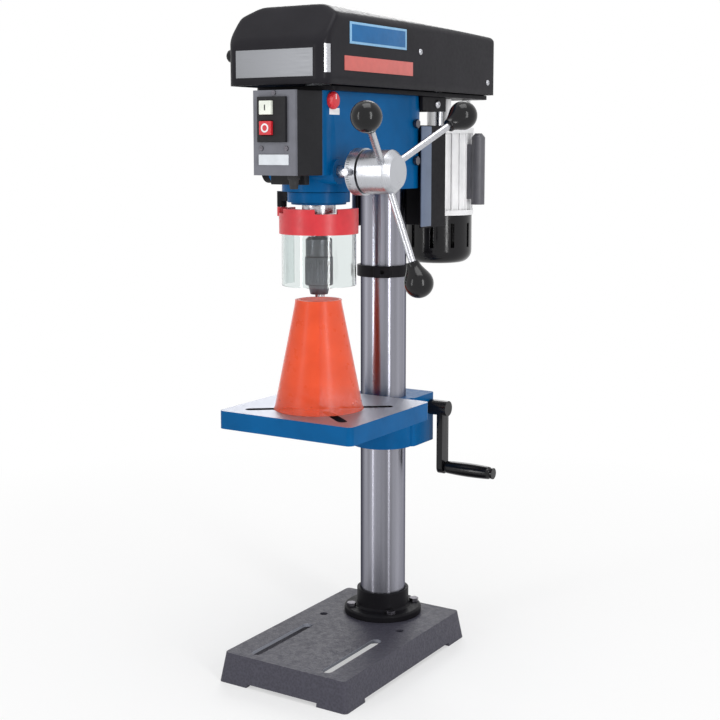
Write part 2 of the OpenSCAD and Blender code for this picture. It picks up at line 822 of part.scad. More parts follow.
chuck_r = chuck_d / 2;
chuck_core_r = chuck_r - 4;
sleeve_low = 12;
sleeve_high = chuck_l * 0.66;
nose_r = chuck_r - 7;
module spindle() {
    taper_l = 26;
    collar_h = 8;
    color(steel) translate([0, spindle_y, 0]) difference() {
        union() {
            translate([0, 0, quill_z]) cylinder(r = spindle_r, h = spindle_top - quill_z);
            translate([0, 0, quill_z - collar_h]) cylinder(r = spindle_r + 4, h = collar_h - 0.5);
            translate([0, 0, chuck_top]) cylinder(r = spindle_r, h = quill_z - chuck_top);
            translate([0, 0, chuck_top - taper_l]) cylinder(r1 = 6.5, r2 = 8, h = taper_l);
        }
        for (a = [0 : 60 : 300]) rotate([0, 0, a]) translate([spindle_r - 1, -1.5, belt_z - quill_stroke])
            cube([3, 3, spindle_top]);
    }
}

// Jaw seats lean towards the chuck's axis and meet it at the nose
jaw_lean = 10;
jaw_r = 2.4;
jaw_l = 22;
jaw_open = 8;
jaw_tip = 3.5;
jaw_face = 4;
grip_l = 16;
bit_r = 3;
module jaw_seat(i, r, l, start) {
    translate([0, spindle_y, chuck_z]) rotate([0, 0, 120 * i + 30]) translate([bit_r + jaw_r, 0, 0])
        rotate([0, jaw_lean, 0])
        translate([0, 0, start]) cylinder(r = r, h = l);
}

module chuck_body() {
    taper_l = 26;
    color(steel) difference() {
        translate([0, spindle_y, chuck_z]) union() {
            cylinder(r1 = nose_r, r2 = chuck_core_r, h = sleeve_low);
            translate([0, 0, sleeve_low]) cylinder(r = chuck_core_r, h = chuck_l - sleeve_low - 4);
            translate([0, 0, sleeve_high + side_gap])
                cylinder(r = chuck_r - 1, h = chuck_l - sleeve_high - side_gap - 4);
            translate([0, 0, chuck_l - 4]) cylinder(r1 = chuck_r - 1, r2 = chuck_r - 5, h = 4);
        }
        translate([0, spindle_y, chuck_top - taper_l])
            cylinder(r1 = 6.5 + snug, r2 = 8 + snug, h = taper_l + 0.01);
        translate([0, spindle_y, chuck_z - 1]) cylinder(r = bit_r + 5, h = jaw_l + jaw_open + 6);
        for (i = [0 : 2]) jaw_seat(i, jaw_r + side_gap, jaw_l + jaw_open + 6, -6);
    }
}

module chuck_sleeve() {
    grips = 24;
    color(iron) translate([0, spindle_y, chuck_z]) difference() {
        translate([0, 0, sleeve_low]) ring(chuck_r, chuck_core_r + run_fit, sleeve_high - sleeve_low);
        for (i = [0 : grips - 1]) rotate([0, 0, i * 360 / grips])
            translate([chuck_r + 0.6, 0, sleeve_low + 5])
            cylinder(r = 1.6, h = sleeve_high - sleeve_low - 10, $fn = 16);
    }
}

module chuck_jaw(i) {
    color(steel) difference() {
        union() {
            jaw_seat(i, jaw_r, jaw_l, -jaw_tip);
            translate([0, spindle_y, chuck_z - jaw_tip]) rotate([0, 0, 120 * i + 30])
                translate([0, -jaw_face / 2, 0]) cube([bit_r + jaw_r + 0.5, jaw_face, grip_l]);
        }
        translate([0, spindle_y, chuck_z - 2 * jaw_tip]) cylinder(r = bit_r, h = chuck_l);
    }
}

module chuck_jaw_a() {
    chuck_jaw(0);
}

module chuck_jaw_b() {
    chuck_jaw(1);
}

module chuck_jaw_c() {
    chuck_jaw(2);
}

depth_ring_x = head_w / 2 + 30;
depth_ring_w = 14;
hub_x = depth_ring_x + depth_ring_w + 2;
hub_l = 44;
hub_r = depth_ring_d / 2 - 2;
module pinion_shaft() {
    pinion_half = 15;
    shaft_start = -head_w / 2 - spring_cap_l + 5;
    color(steel) {
        translate([0, feed_y, feed_z]) along_x(-pinion_half, 2 * pinion_half) polygon(pinion_points);
        bar_x(-head_w / 2 - 1, hub_x + hub_l - 5 + head_w / 2, feed_r, feed_y, feed_z);
        bar_x(shaft_start, spring_cap_l, spring_arbor_r, feed_y, feed_z);
    }
}

// Frame of one feed lever: X runs out along the rod from the feed axis
module lever_frame(i) {
    translate([lever_x, feed_y, feed_z]) rotate([lever_phase + 120 * i, 0, 0])
        rotate([0, 0, 90 - lever_rake]) children();
}

module feed_hub() {
    color(alloy) difference() {
        translate([hub_x, feed_y, feed_z]) rotate([0, 90, 0]) union() {
            cylinder(r = hub_r, h = hub_l - 8);
            translate([0, 0, hub_l - 8]) cylinder(r1 = hub_r, r2 = hub_r - 7, h = 8);
        }
        bar_x(hub_x - 1, hub_l - 5, feed_r + snug, feed_y, feed_z);
        for (i = [0 : 2]) lever_frame(i) translate([lever_start, 0, 0]) rotate([0, 90, 0])
            cylinder(d = lever_rod_d + 2 * snug, h = lever_l);
    }
}

lever_start = feed_r + 4;
module feed_levers() {
    color(steel) for (i = [0 : 2]) lever_frame(i) translate([lever_start, 0, 0]) rotate([0, 90, 0])
        cylinder(d = lever_rod_d, h = lever_l - lever_start + lever_knob_d / 4);
}

// Pear-shaped knobs with a blind hole for the rod
module lever_knobs() {
    ball_r = lever_knob_d / 2;
    neck_r = lever_rod_d / 2 + 4;
    neck_l = ball_r + 9;
    color(black) for (i = [0 : 2]) lever_frame(i) translate([lever_l, 0, 0]) rotate([0, 90, 0])
        difference() {
        union() {
            sphere(r = ball_r);
            translate([0, 0, -neck_l]) cylinder(r1 = neck_r, r2 = ball_r * 0.8, h = neck_l - ball_r * 0.6);
        }
        translate([0, 0, -neck_l - 1])
            cylinder(d = lever_rod_d + 2 * snug, h = neck_l + 1 + lever_knob_d / 4 + 0.2);
    }
}

module depth_ring() {
    color(alloy) difference() {
        bar_x(depth_ring_x, depth_ring_w, depth_ring_d / 2, feed_y, feed_z);
        bar_x(depth_ring_x - 1, depth_ring_w + 2, feed_r + run_fit, feed_y, feed_z);
        translate([depth_ring_x + depth_ring_w / 2, feed_y, feed_z]) rotate([180, 0, 0])
            translate([0, feed_r, 0])
            rotate([-90, 0, 0]) cylinder(r = 2.5 + snug, h = depth_ring_d);
    }
}

module depth_screw() {
    head_gap = depth_ring_d / 2 - feed_r - 0.5;
    color(steel) translate([depth_ring_x + depth_ring_w / 2, feed_y, feed_z]) rotate([180, 0, 0])
        translate([0, feed_r + 0.5, 0])
        rotate([-90, 0, 0]) {
            cylinder(r = 2.5, h = head_gap + 2);
            translate([0, 0, head_gap + 2]) cylinder(r = 5, h = 8);
        }
}

// Belt cover: upright skirt, sloped front, bevelled sides, open below
module cover_block(inset) {
    top = cover_z + cover_h - inset;
    front = cover_front_y + inset;
    back = cover_back_y - inset;
    half = cover_w / 2 - inset;
    low = inset > 0 ? cover_z - 5 : cover_z + side_gap;
    front_run = 40;
    roof_half = cover_w / 2 - 27;
    bevel = 14;
    roof_drop = 15;
    intersection() {
        translate([-half, front, low]) slab([2 * half, back - front, cover_h + 10], 16);
        along_x(-cover_w, 2 * cover_w) polygon([[front, low], [front, cover_z + cover_skirt - inset / 2],
            [front + front_run, top], [back, top - roof_drop], [back, low]]);
        translate([0, cover_back_y + 1, 0]) rotate([90, 0, 0])
            linear_extrude(height = cover_back_y - cover_front_y + 2)
            polygon([[-half, low], [half, low], [half, top - bevel], [roof_half, top], [-roof_half, top],
                [-half, top - bevel]]);
    }
}

module belt_cover() {
    knuckle_x = 29;
    knuckle_w = 12;
    color(black) difference() {
        union() {
            difference() {
                cover_block(0);
                cover_block(cover_wall);
            }
            for (x = [-1, 1]) {
                bar_x(x * knuckle_x - knuckle_w / 2, knuckle_w, knuckle_r - 0.5, hinge_y, hinge_z);
                translate([x * knuckle_x - knuckle_w / 2, cover_back_y - 1, hinge_z - 2.5])
                    cube([knuckle_w, hinge_y - cover_back_y + 1, 5]);
            }
        }
        bar_x(-cover_w, 2 * cover_w, hinge_pin_r + run_fit, hinge_y, hinge_z);
        bar_x(-cover_w / 2 - 1, cover_wall + 2, 3 + snug, cover_knob_y, cover_knob_z);
    }
}

cover_knob_y = cover_front_y + 22;
cover_knob_z = cover_z + 39;
module cover_knob() {
    color(black) {
        bar_x(-cover_w / 2, cover_wall, 3, cover_knob_y, cover_knob_z);
        bar_x(-cover_w / 2 - 9, 9, 8, cover_knob_y, cover_knob_z);
        bar_x(-cover_w / 2 - 11, 2, 6, cover_knob_y, cover_knob_z);
    }
}

module cover_hinge_pin() {
    pin_half = 48;
    color(steel) bar_x(-pin_half, 2 * pin_half, hinge_pin_r, hinge_y, hinge_z);
}

module table_rack() {
    low = flange_top + side_gap;
    high = rack_ring_z - side_gap;
    teeth = floor((high - low - 2 * tooth_pitch) / tooth_pitch);
    first = crank_z - tooth_pitch * floor((crank_z - low - tooth_pitch) / tooth_pitch);
    cut = rack_teeth(first, teeth);
    pitch_y = column_y + rack_seat + rack_back;
    back_y = column_y + rack_seat;
    color(steel) difference() {
        along_x(-rack_w / 2, rack_w) polygon(concat(
            [[back_y, low], [pitch_y - tooth_root, low]],
            [for (p = cut) [pitch_y + p.x, p.y]],
            [[pitch_y - tooth_root, high], [back_y, high]]));
        translate([0, column_y, low - 1]) cylinder(r = rack_seat, h = high - low + 2);
    }
}

module table_bracket() {
    housing_wall = 13;
    color(blue) difference() {
        union() {
            translate([0, column_y, bracket_z]) cylinder(r = collar_r, h = bracket_h);
            translate([-24, column_y, bracket_z])
                slab([24 + housing_x, crank_y - column_y + housing_wall, bracket_h], 6);
            bar_y(ear_face_y, column_y - ear_face_y, ear_r, 0, tilt_z);
            translate([-ear_r, ear_face_y, tilt_z])
                cube([2 * ear_r, column_y - ear_face_y, bracket_z + bracket_h - tilt_z - 8]);
            bar_x(-collar_r - 12, collar_r, 11, column_y, clamp_z);
        }
        translate([0, column_y, bracket_z - 30]) cylinder(r = column_r + run_fit, h = bracket_h + 60);
        translate([-rack_w / 2 - side_gap, column_y, bracket_z - 30])
            cube([rack_w + 2 * side_gap, rack_seat + rack_back + tooth_tip + 1, bracket_h + 60]);
        bar_x(-26, 2 * housing_x, crank_shaft_r + run_fit, crank_y, crank_z);
        bar_x(-13, 26, pitch_r + tooth_tip + 0.8, crank_y, crank_z);
        bar_x(-collar_r - 20, collar_r + 2, clamp_screw_r + run_fit, column_y, clamp_z);
        bar_y(ear_face_y - 1, tilt_bolt_l + 1, tilt_bolt_r + snug, 0, tilt_z);
    }
}

clamp_z = bracket_z + 22;
clamp_screw_r = 5;
tilt_bolt_r = 8;
tilt_bolt_l = 12;
ear_t = 22;
ear_r = 24;

module tilt_bolt() {
    ear_y = ear_face_y - ear_t - side_gap;
    color(steel) {
        bar_y(ear_y - 3, ear_t + side_gap + 3 + tilt_bolt_l - 0.5, tilt_bolt_r, 0, tilt_z);
        bar_y(ear_y - 3 - side_gap, 3, 15, 0, tilt_z);
        translate([0, ear_y - 3 - side_gap, tilt_z]) rotate([90, 0, 0]) cylinder(r = 13, h = 8, $fn = 6);
    }
}

module clamp_lever() {
    boss_x = -collar_r - 12;
    arm_l = 62;
    arm_lean = 25;
    color(black) {
        bar_x(boss_x - 4, -boss_x + 4 - column_r - 0.5, clamp_screw_r, column_y, clamp_z);
        bar_x(boss_x - 4 - 14, 14 - side_gap + 4, 10, column_y, clamp_z);
        translate([boss_x - 11, column_y, clamp_z]) rotate([0, 0, arm_lean]) rotate([-90, 0, 0]) {
            cylinder(r = 4.5, h = arm_l);
            translate([0, 0, arm_l]) sphere(r = 11);
        }
    }
}

crank_arm_t = 9;
crank_arm_x = housing_x + 16;
module crank_shaft() {
    pinion_half = 12;
    shaft_start = -22;
    color(steel) {
        translate([0, crank_y, crank_z]) along_x(-pinion_half, 2 * pinion_half) polygon(pinion_points);
        bar_x(shaft_start, crank_arm_x + crank_arm_t - shaft_start, crank_shaft_r, crank_y, crank_z);
    }
}

module crank_arm() {
    boss_r = 11;
    end_r = 10;
    boss_x = housing_x + 1;
    low_z = crank_z - crank_reach;
    color(black) difference() {
        union() {
            bar_x(boss_x, crank_arm_x + crank_arm_t + 5 - boss_x, boss_r, crank_y, crank_z);
            bar_x(crank_arm_x, crank_arm_t, end_r, crank_y, low_z);
            translate([crank_arm_x, crank_y - end_r, low_z]) cube([crank_arm_t, 2 * end_r, crank_reach]);
            bar_x(crank_arm_x + crank_arm_t, crank_grip_l + 2, 5, crank_y, low_z);
            bar_x(crank_arm_x + crank_arm_t + crank_grip_l + 1.2, 3, 8, crank_y, low_z);
        }
        bar_x(boss_x - 1, crank_arm_x + crank_arm_t + 1.1 - boss_x, crank_shaft_r + snug, crank_y, crank_z);
    }
}

module crank_grip() {
    grip_r = 10;
    start = crank_arm_x + crank_arm_t + side_gap;
    color(black) translate([start, crank_y, crank_z - crank_reach]) rotate([0, 90, 0]) difference() {
        union() {
            cylinder(r1 = grip_r - 2, r2 = grip_r, h = 6);
            translate([0, 0, 6]) cylinder(r = grip_r, h = crank_grip_l - 12);
            translate([0, 0, crank_grip_l - 6]) cylinder(r1 = grip_r, r2 = grip_r - 2, h = 6);
        }
        translate([0, 0, -1]) cylinder(r = 5 + run_fit, h = crank_grip_l + 2);
    }
}

module table() {
    rim = 7;
    corner = 8;
    low = table_z - table_edge;
    slot_near = 32;
    slot_far = 92;
    slot_angle = 38;
    hole_wall = 9;
    color(blue) difference() {
        union() {
            difference() {
                translate([-table_w / 2, table_front_y, low]) slab([table_w, table_l, table_edge], corner);
                translate([-table_w / 2 + rim, table_front_y + rim, low - 1])
                    slab([table_w - 2 * rim, table_l - 2 * rim, table_edge - table_plate + 1], corner - 3);
            }
            translate([0, spindle_y, low]) cylinder(d = table_hole_d + 2 * hole_wall, h = table_edge - 1);
            for (x = [-1, 1]) translate([x * 60 - 3, table_front_y + 3, low + 2])
                cube([6, table_l - 6, table_edge - table_plate]);
            bar_y(ear_face_y - side_gap - ear_t, ear_t, ear_r, 0, tilt_z);
            translate([-ear_r, ear_face_y - side_gap - ear_t, tilt_z])
                cube([2 * ear_r, ear_t - 3, low + 4 - tilt_z]);
        }
        translate([0, spindle_y, low - 1]) cylinder(d = table_hole_d, h = table_edge + 2);
        for (sx = [-1, 1], sy = [-1, 1]) translate([0, spindle_y, low - 1])
            slot([sx * slot_near * cos(slot_angle), sy * slot_near * sin(slot_angle)],
                [sx * slot_far * cos(slot_angle), sy * slot_far * sin(slot_angle)],
                table_slot_w, table_edge + 2);
        bar_y(ear_face_y - side_gap - ear_t - 1, ear_t + 2, tilt_bolt_r + run_fit, 0, tilt_z);
    }
}

// Hollow cone that stands on the table round the drill
module chip_guard() {
    low = table_z + side_gap;
    high = chuck_z - hood_gap;
    foot_r = hood_foot_d / 2;
    top_r = hood_top_d / 2;
    bead = 1.5;
    color([0.96, 0.36, 0.2, 0.75]) translate([0, spindle_y, 0]) rotate_extrude()
        polygon([[foot_r - hood_wall - bead, low],
        [foot_r, low], [foot_r, low + 4], [top_r + bead, high - 4], [top_r + bead, high],
            [top_r - hood_wall, high],
        [top_r - hood_wall, high - 4], [foot_r - hood_wall - bead, low + 4]]);
}

// Front part of a ring round the spindle, between two angles
arc_start = 170;
arc_sweep = 224;
module front_arc(outer, inner, z, h) {
    translate([0, spindle_y, z]) rotate([0, 0, arc_start]) rotate_extrude(angle = arc_sweep)
        translate([inner, 0]) square([outer - inner, h]);
}

shield_r = guard_r - 3;
groove_h = 10;
guard_ear_h = 12;
module guard_frame() {
    ear_y = spindle_y;
    notch_w = 30;
    notch_h = 6;
    color(red) difference() {
        union() {
            front_arc(guard_r, guard_r - 9, guard_z, guard_frame_h);
            translate([guard_pin_x, ear_y, guard_top - guard_ear_h]) cylinder(r = 6.5, h = guard_ear_h);
            translate([guard_pin_x, ear_y - 5, guard_top - guard_ear_h]) cube([11, 10, guard_ear_h]);
        }
        front_arc(shield_r + side_gap / 2, shield_r - shield_wall - side_gap / 2,
            guard_z - 1, groove_h + 1);
        translate([guard_pin_x, ear_y, guard_top - guard_ear_h - 1])
            cylinder(r = 3 + run_fit, h = guard_ear_h + 2);
        for (a = [225, 315]) translate([0, spindle_y, guard_top - notch_h]) rotate([0, 0, a])
            translate([0, -notch_w / 2, 0]) cube([guard_d, notch_w, guard_frame_h]);
    }
}

module guard_shield() {
    tall = shield_h + groove_h - side_gap / 2;
    color([0.85, 0.92, 0.95, 0.35]) front_arc(shield_r, shield_r - shield_wall, guard_z - shield_h, tall);
}

// Collar round the quill boss with an arm out to the guard's hinge
module guard_bracket() {
    boss_r = quill_r + 14;
    collar_z = boss_z + 3;
    collar_h = boss_h - 4;
    color(black) difference() {
        union() {
            translate([0, spindle_y, collar_z]) cylinder(r = boss_r + 5, h = collar_h);
            translate([guard_pin_x, spindle_y - 6, collar_z]) cube([-guard_pin_x - boss_r, 12, collar_h]);
            translate([guard_pin_x, spindle_y, guard_top + side_gap])
                cylinder(r = 6.5, h = collar_z + collar_h - guard_top - side_gap);
        }
        translate([0, spindle_y, collar_z - 1]) cylinder(r = boss_r + snug, h = collar_h + 2);
        translate([guard_pin_x, spindle_y, guard_top]) cylinder(r = 3 + snug, h = boss_h + 20);
    }
}

module guard_hinge_pin() {
    low = guard_top - guard_ear_h - 3;
    high = boss_z + boss_h - 1;
    color(steel) translate([guard_pin_x, spindle_y, low]) {
        cylinder(r = 3, h = high - low);
        translate([0, 0, -1]) cylinder(r = 4.5, h = 3 - side_gap + 1);
    }
}

base();
column_flange();
flange_bolts();
column();
rack_ring();
head_casting();
head_clamp_screws();
quill_spring_cap();
quill_return_spring();
belt_tray();
motor_bracket();
motor_standoffs();
motor_housing();
motor_end_bell();
motor_capacitor();
motor_bearings();
cord_gland();
switch_box();
switch_fascia();
switch_bezel();
speed_display();
fascia_screws();
pulley_bearings();
drive_belt();
guard_bracket();
guard_hinge_pin();
cover_hinge_pin();
belt_cover();
cover_knob();
motor_rotor();
motor_sheave();
spindle_sheave();
quill();
quill_bearings();
spindle();
chuck_body();
chuck_sleeve();
chuck_jaw_a();
chuck_jaw_b();
chuck_jaw_c();
pinion_shaft();
feed_hub();
feed_levers();
lever_knobs();
depth_ring();
depth_screw();
table_rack();
table_bracket();
tilt_bolt();
clamp_lever();
crank_shaft();
crank_arm();
crank_grip();
table();
chip_guard();
guard_frame();
guard_shield();
start_button();
stop_button();
speed_knob();
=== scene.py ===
"""Looks of a bench drill press: finishes, softened castings and modelled details around its fixed frame."""
import json
import math

import bmesh
import bpy
import numpy as np
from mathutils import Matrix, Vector

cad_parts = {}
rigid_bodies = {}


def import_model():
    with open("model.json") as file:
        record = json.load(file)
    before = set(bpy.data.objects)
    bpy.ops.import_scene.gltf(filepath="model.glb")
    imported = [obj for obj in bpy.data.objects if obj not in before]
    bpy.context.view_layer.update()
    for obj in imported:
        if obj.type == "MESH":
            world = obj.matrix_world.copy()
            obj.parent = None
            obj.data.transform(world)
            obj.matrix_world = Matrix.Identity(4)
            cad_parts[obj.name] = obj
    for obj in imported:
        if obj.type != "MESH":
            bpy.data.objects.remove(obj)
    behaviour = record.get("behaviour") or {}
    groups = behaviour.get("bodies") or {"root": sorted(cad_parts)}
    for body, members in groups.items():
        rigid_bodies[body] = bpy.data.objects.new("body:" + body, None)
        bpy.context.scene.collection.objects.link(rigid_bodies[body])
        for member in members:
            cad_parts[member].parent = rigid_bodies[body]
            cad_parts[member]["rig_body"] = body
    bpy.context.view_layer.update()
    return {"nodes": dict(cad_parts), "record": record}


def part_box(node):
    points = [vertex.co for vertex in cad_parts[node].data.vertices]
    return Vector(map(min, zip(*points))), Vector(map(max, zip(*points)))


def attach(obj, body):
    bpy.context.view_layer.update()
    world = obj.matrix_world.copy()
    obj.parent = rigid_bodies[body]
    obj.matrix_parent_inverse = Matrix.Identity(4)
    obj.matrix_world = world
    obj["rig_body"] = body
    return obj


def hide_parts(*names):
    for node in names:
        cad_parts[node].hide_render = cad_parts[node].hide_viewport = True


bl_info = {
    "name": "Bench drill press looks",
    "version": (1, 0, 0),
    "blender": (4, 5, 0),
    "location": "View3D > Sidebar > Drill press",
    "description": "Finishes and modelled details of a bench drill press",
    "category": "Object",
}

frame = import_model()
MM = 0.001
UP = (0.0, 0.0, 1.0)
EVEN = (1.0, 1.0, 1.0)

# Points closer than these distances in metres are one point or a sliver. Faces that meet below these angles in
# degrees are joined, shaded smoothly or left without a rounded edge.
DOUBLED = 1e-6
FRAME_DOUBLED = 2e-6
SLIVER = 1e-7
FLAT_ANGLE = 0.4
SMOOTH_ANGLE = 35.0
CASTING_ANGLE = 40.0
EDGE_ANGLE = 32.0


def srgb(red, green, blue):
    """An 8-bit display colour as scene-linear values."""
    c = np.array([red, green, blue]) / 255.0
    return tuple(float(v) for v in np.where(c <= 0.04045, c / 12.92, ((c + 0.055) / 1.055) ** 2.4))


def colour(label, text, value):
    """A colour that a user would change."""
    return bpy.props.FloatVectorProperty(
        name=label, description=text, subtype="COLOR", size=3, min=0.0, max=1.0, default=value)


def length(label, text, millimetres):
    """A length that a user would change."""
    return bpy.props.FloatProperty(
        name=label, description=text, subtype="DISTANCE", unit="LENGTH", min=0.0, default=millimetres * MM)


class PressColours(bpy.types.PropertyGroup):
    """Colours of the drill press's finishes."""

    enamel: colour("Enamel", "Blue enamel of the head, bracket and table", srgb(0, 86, 142))
    cover: colour("Cover", "Black enamel of the belt cover and brackets", srgb(36, 35, 39))
    base: colour("Base", "Hammered grey of the cast base", srgb(66, 65, 75))
    steel: colour("Steel", "Ground steel of the spindle and rods", srgb(188, 189, 194))
    column: colour("Column", "Polished steel of the column", srgb(142, 142, 151))
    dark_steel: colour("Dark steel", "Blackened steel of the chuck and screws", srgb(98, 96, 102))
    alloy: colour("Alloy", "Turned aluminium of the hub and depth ring", srgb(186, 188, 193))
    motor: colour("Motor", "White enamel of the motor", srgb(242, 242, 244))
    plastic: colour("Black plastic", "Moulded black plastic of the knobs and grips", srgb(15, 15, 17))
    fascia: colour("Fascia", "Grey moulded fascia of the switch", srgb(114, 115, 123))
    red: colour("Red", "Red plastic of the guard and stop button", srgb(208, 42, 52))
    start: colour("Start button", "Whitish start button", srgb(232, 236, 226))
    hood: colour("Chip guard", "Tinted plastic of the chip guard", srgb(254, 96, 56))
    shield: colour("Shield", "Clear plastic of the chuck guard", srgb(226, 233, 232))
    ground: colour("Ground iron", "Ground top of the table", srgb(164, 167, 177))
    floor: colour("Floor", "Pale studio floor", srgb(245, 245, 245))


class PressSizes(bpy.types.PropertyGroup):
    """Sizes of the modelled details."""

    casting_edge: length("Casting edge", "Radius worn on the edges of the castings", 2.2)
    sheet_edge: length("Sheet edge", "Radius on the edges of plates and small pieces", 0.8)
    cover_wall: length("Cover wall", "Wall thickness of the belt cover", 3.0)
    cover_crease: length("Cover crease", "Softness of the belt cover's creases", 7.0)
    badge_rise: length("Badge rise", "How far the bare plates stand off the cover", 0.8)
    hood_wall: length("Chip guard wall", "Thickness of the chip guard's rolled sheet", 1.6)
    scale_mark: length("Scale mark", "Width of a mark on the depth ring", 0.7)


def sizes():
    """The scene's sizes of the modelled details."""
    return bpy.context.scene.press_sizes


def colours():
    """The scene's colours of the finishes."""
    return bpy.context.scene.press_colours


def placed(name, data):
    """A new object in the scene for a mesh, lamp or camera, at the origin."""
    obj = bpy.data.objects.new(name, data)
    bpy.context.scene.collection.objects.link(obj)
    return obj


def new_object(name, points, faces):
    """A mesh object from points and faces: doubled points merged, faces turned outwards and shaded smooth."""
    mesh = bpy.data.meshes.new(name)
    mesh.from_pydata(np.asarray(points, float).tolist(), [], faces)
    mesh.validate()
    work = bmesh.new()
    work.from_mesh(mesh)
    bmesh.ops.remove_doubles(work, verts=work.verts, dist=DOUBLED)
    bmesh.ops.dissolve_degenerate(work, edges=work.edges, dist=SLIVER)
    bmesh.ops.recalc_face_normals(work, faces=work.faces)
    work.to_mesh(mesh)
    work.free()
    obj = placed(name, mesh)
    smooth(obj, SMOOTH_ANGLE)
    return obj


def smooth(obj, angle):
    """Shades a mesh smooth except at edges sharper than an angle in degrees."""
    obj.data.polygons.foreach_set("use_smooth", np.ones(len(obj.data.polygons), bool))
    obj.data.set_sharp_from_angle(angle=math.radians(angle))


def surface(name, points, close_rows=False, cap=True):
    """A grid of points as a mesh of quads: rows of rings, closed on themselves or with the first and last ring
    capped by one face each."""
    rows, columns = points.shape[:2]
    i, j = np.meshgrid(np.arange(rows - (not close_rows)), np.arange(columns), indexing="ij")
    a, b = (i + 1) % rows, (j + 1) % columns
    quads = np.stack([i * columns + j, a * columns + j, a * columns + b, i * columns + b], -1)
    faces = quads.reshape(-1, 4).tolist()
    if cap and not close_rows:
        faces.append(list(range(columns))[::-1])
        faces.append(list(range((rows - 1) * columns, rows * columns)))
    return new_object(name, points.reshape(-1, 3), faces)


def arc(centre, radius, start, end, count):
    """Points on a circle's arc between two angles in degrees."""
    a = np.radians(np.linspace(start, end, count))
    return np.stack([centre[0] + radius * np.cos(a), centre[1] + radius * np.sin(a)], 1)


def about(middle, radius, turn, height):
    """Points at a radius, turn and height about an upright axis."""
    radius, turn, height = np.broadcast_arrays(radius, turn, height)
    return np.stack([middle[0] + radius * np.cos(turn), middle[1] + radius * np.sin(turn), height], -1)


def turned(name, profile, origin, axis, segments, closed=False):
    """A profile of (radius, distance along the axis) turned about an axis through the origin."""
    profile = np.asarray(profile, float)
    along = np.asarray(axis, float) / np.linalg.norm(axis)
    upright = abs(along[2]) > 0.9
    side = np.cross((1.0, 0.0, 0.0) if upright else UP, along)
    side /= np.linalg.norm(side)
    other = np.cross(along, side)
    a = np.linspace(0, 2 * np.pi, segments, endpoint=False)
    ring = np.cos(a)[:, None] * side + np.sin(a)[:, None] * other
    radius, run = profile[:, 0, None, None], profile[:, 1, None, None]
    points = np.asarray(origin, float) + radius * ring + run * along
    return surface(name, points, close_rows=closed, cap=not closed)


def rounded_box(name, low, high, radius):
    """Eight sphere corners pushed apart to the box's corners: a box with round edges."""
    low, high = np.asarray(low, float), np.asarray(high, float)
    radius = min(radius, float((high - low).min()) * 0.499)
    steps = 4
    quarter = np.linspace(0, np.pi / 2, steps + 1)
    turn = np.concatenate([quarter + k * np.pi / 2 for k in range(4)])
    sx = np.repeat([1, -1, -1, 1], steps + 1)
    sy = np.repeat([1, 1, -1, -1], steps + 1)
    tilt = np.concatenate([quarter - np.pi / 2, quarter])
    sz = np.repeat([-1, 1], steps + 1)
    centre, reach = (low + high) / 2, (high - low) / 2 - radius
    x = sx * reach[0] + radius * np.cos(tilt)[:, None] * np.cos(turn)
    y = sy * reach[1] + radius * np.cos(tilt)[:, None] * np.sin(turn)
    z = np.repeat((sz * reach[2] + radius * np.sin(tilt))[:, None], len(turn), 1)
    return surface(name, np.stack([x, y, z], -1) + centre)


def joined(name, pieces):
    """Several objects' meshes as one new object, in place of them."""
    work = bmesh.new()
    for piece in pieces:
        work.from_mesh(piece.data)
        bpy.data.meshes.remove(piece.data)
    mesh = bpy.data.meshes.new(name)
    work.to_mesh(mesh)
    work.free()
    obj = placed(name, mesh)
    smooth(obj, SMOOTH_ANGLE)
    return obj


def dress(obj, name, body, slot, *nodes):
    """Gives a new piece its finish and its body, and hides the frame's nodes that it stands for."""
    obj.data.materials.clear()
    obj.data.materials.append(made(name))
    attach(obj, body)
    if nodes:
        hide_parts(*nodes)
    return obj


def stand_for(obj, name, node):
    """Dresses a new piece in a finish and lets it stand for one of the frame's nodes."""
    return dress(obj, name, frame["nodes"][node]["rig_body"], slot_of(node), node)


def paint(name, *nodes):
    """Gives the frame's own nodes a finish."""
    for item in nodes:
        mesh = frame["nodes"][item].data
        mesh.materials.clear()
        mesh.materials.append(made(name))


def softened(node, width, name, segments):
    """A copy of a frame node with flat faces joined and its edges rounded."""
    work = bmesh.new()
    work.from_mesh(frame["nodes"][node].data)
    bmesh.ops.remove_doubles(work, verts=work.verts, dist=FRAME_DOUBLED)
    bmesh.ops.dissolve_limit(work, angle_limit=math.radians(FLAT_ANGLE), verts=work.verts, edges=work.edges)
    mesh = bpy.data.meshes.new(node + "_finish")
    work.to_mesh(mesh)
    work.free()
    obj = placed(node + "_finish", mesh)
    bevel = obj.modifiers.new("worn edges", "BEVEL")
    bevel.limit_method = "ANGLE"
    bevel.angle_limit = math.radians(EDGE_ANGLE)
    bevel.width = width
    bevel.segments = segments
    smooth(obj, CASTING_ANGLE)
    return stand_for(obj, name, node)


def slot_of(node):
    """The material slot that the record gives a node."""
    return next(s["material_slot"] for s in frame["record"]["subparts"] if s["node"] == node)


def finish(name, base, roughness, metallic=0.0, sockets=None):
    """A new shader material whose plain values sit on the shader's own sockets."""
    material = bpy.data.materials.new(name)
    material.use_nodes = True
    shader = material.node_tree.nodes["Principled BSDF"]
    values = {"Base Color": (*base, 1.0), "Roughness": roughness, "Metallic": metallic, **(sockets or {})}
    for socket, value in values.items():
        shader.inputs[socket].default_value = value
    return material


def drive(material, socket, value):
    """Links a node's output to one of the shader's sockets."""
    tree = material.node_tree
    tree.links.new(value, tree.nodes["Principled BSDF"].inputs[socket])


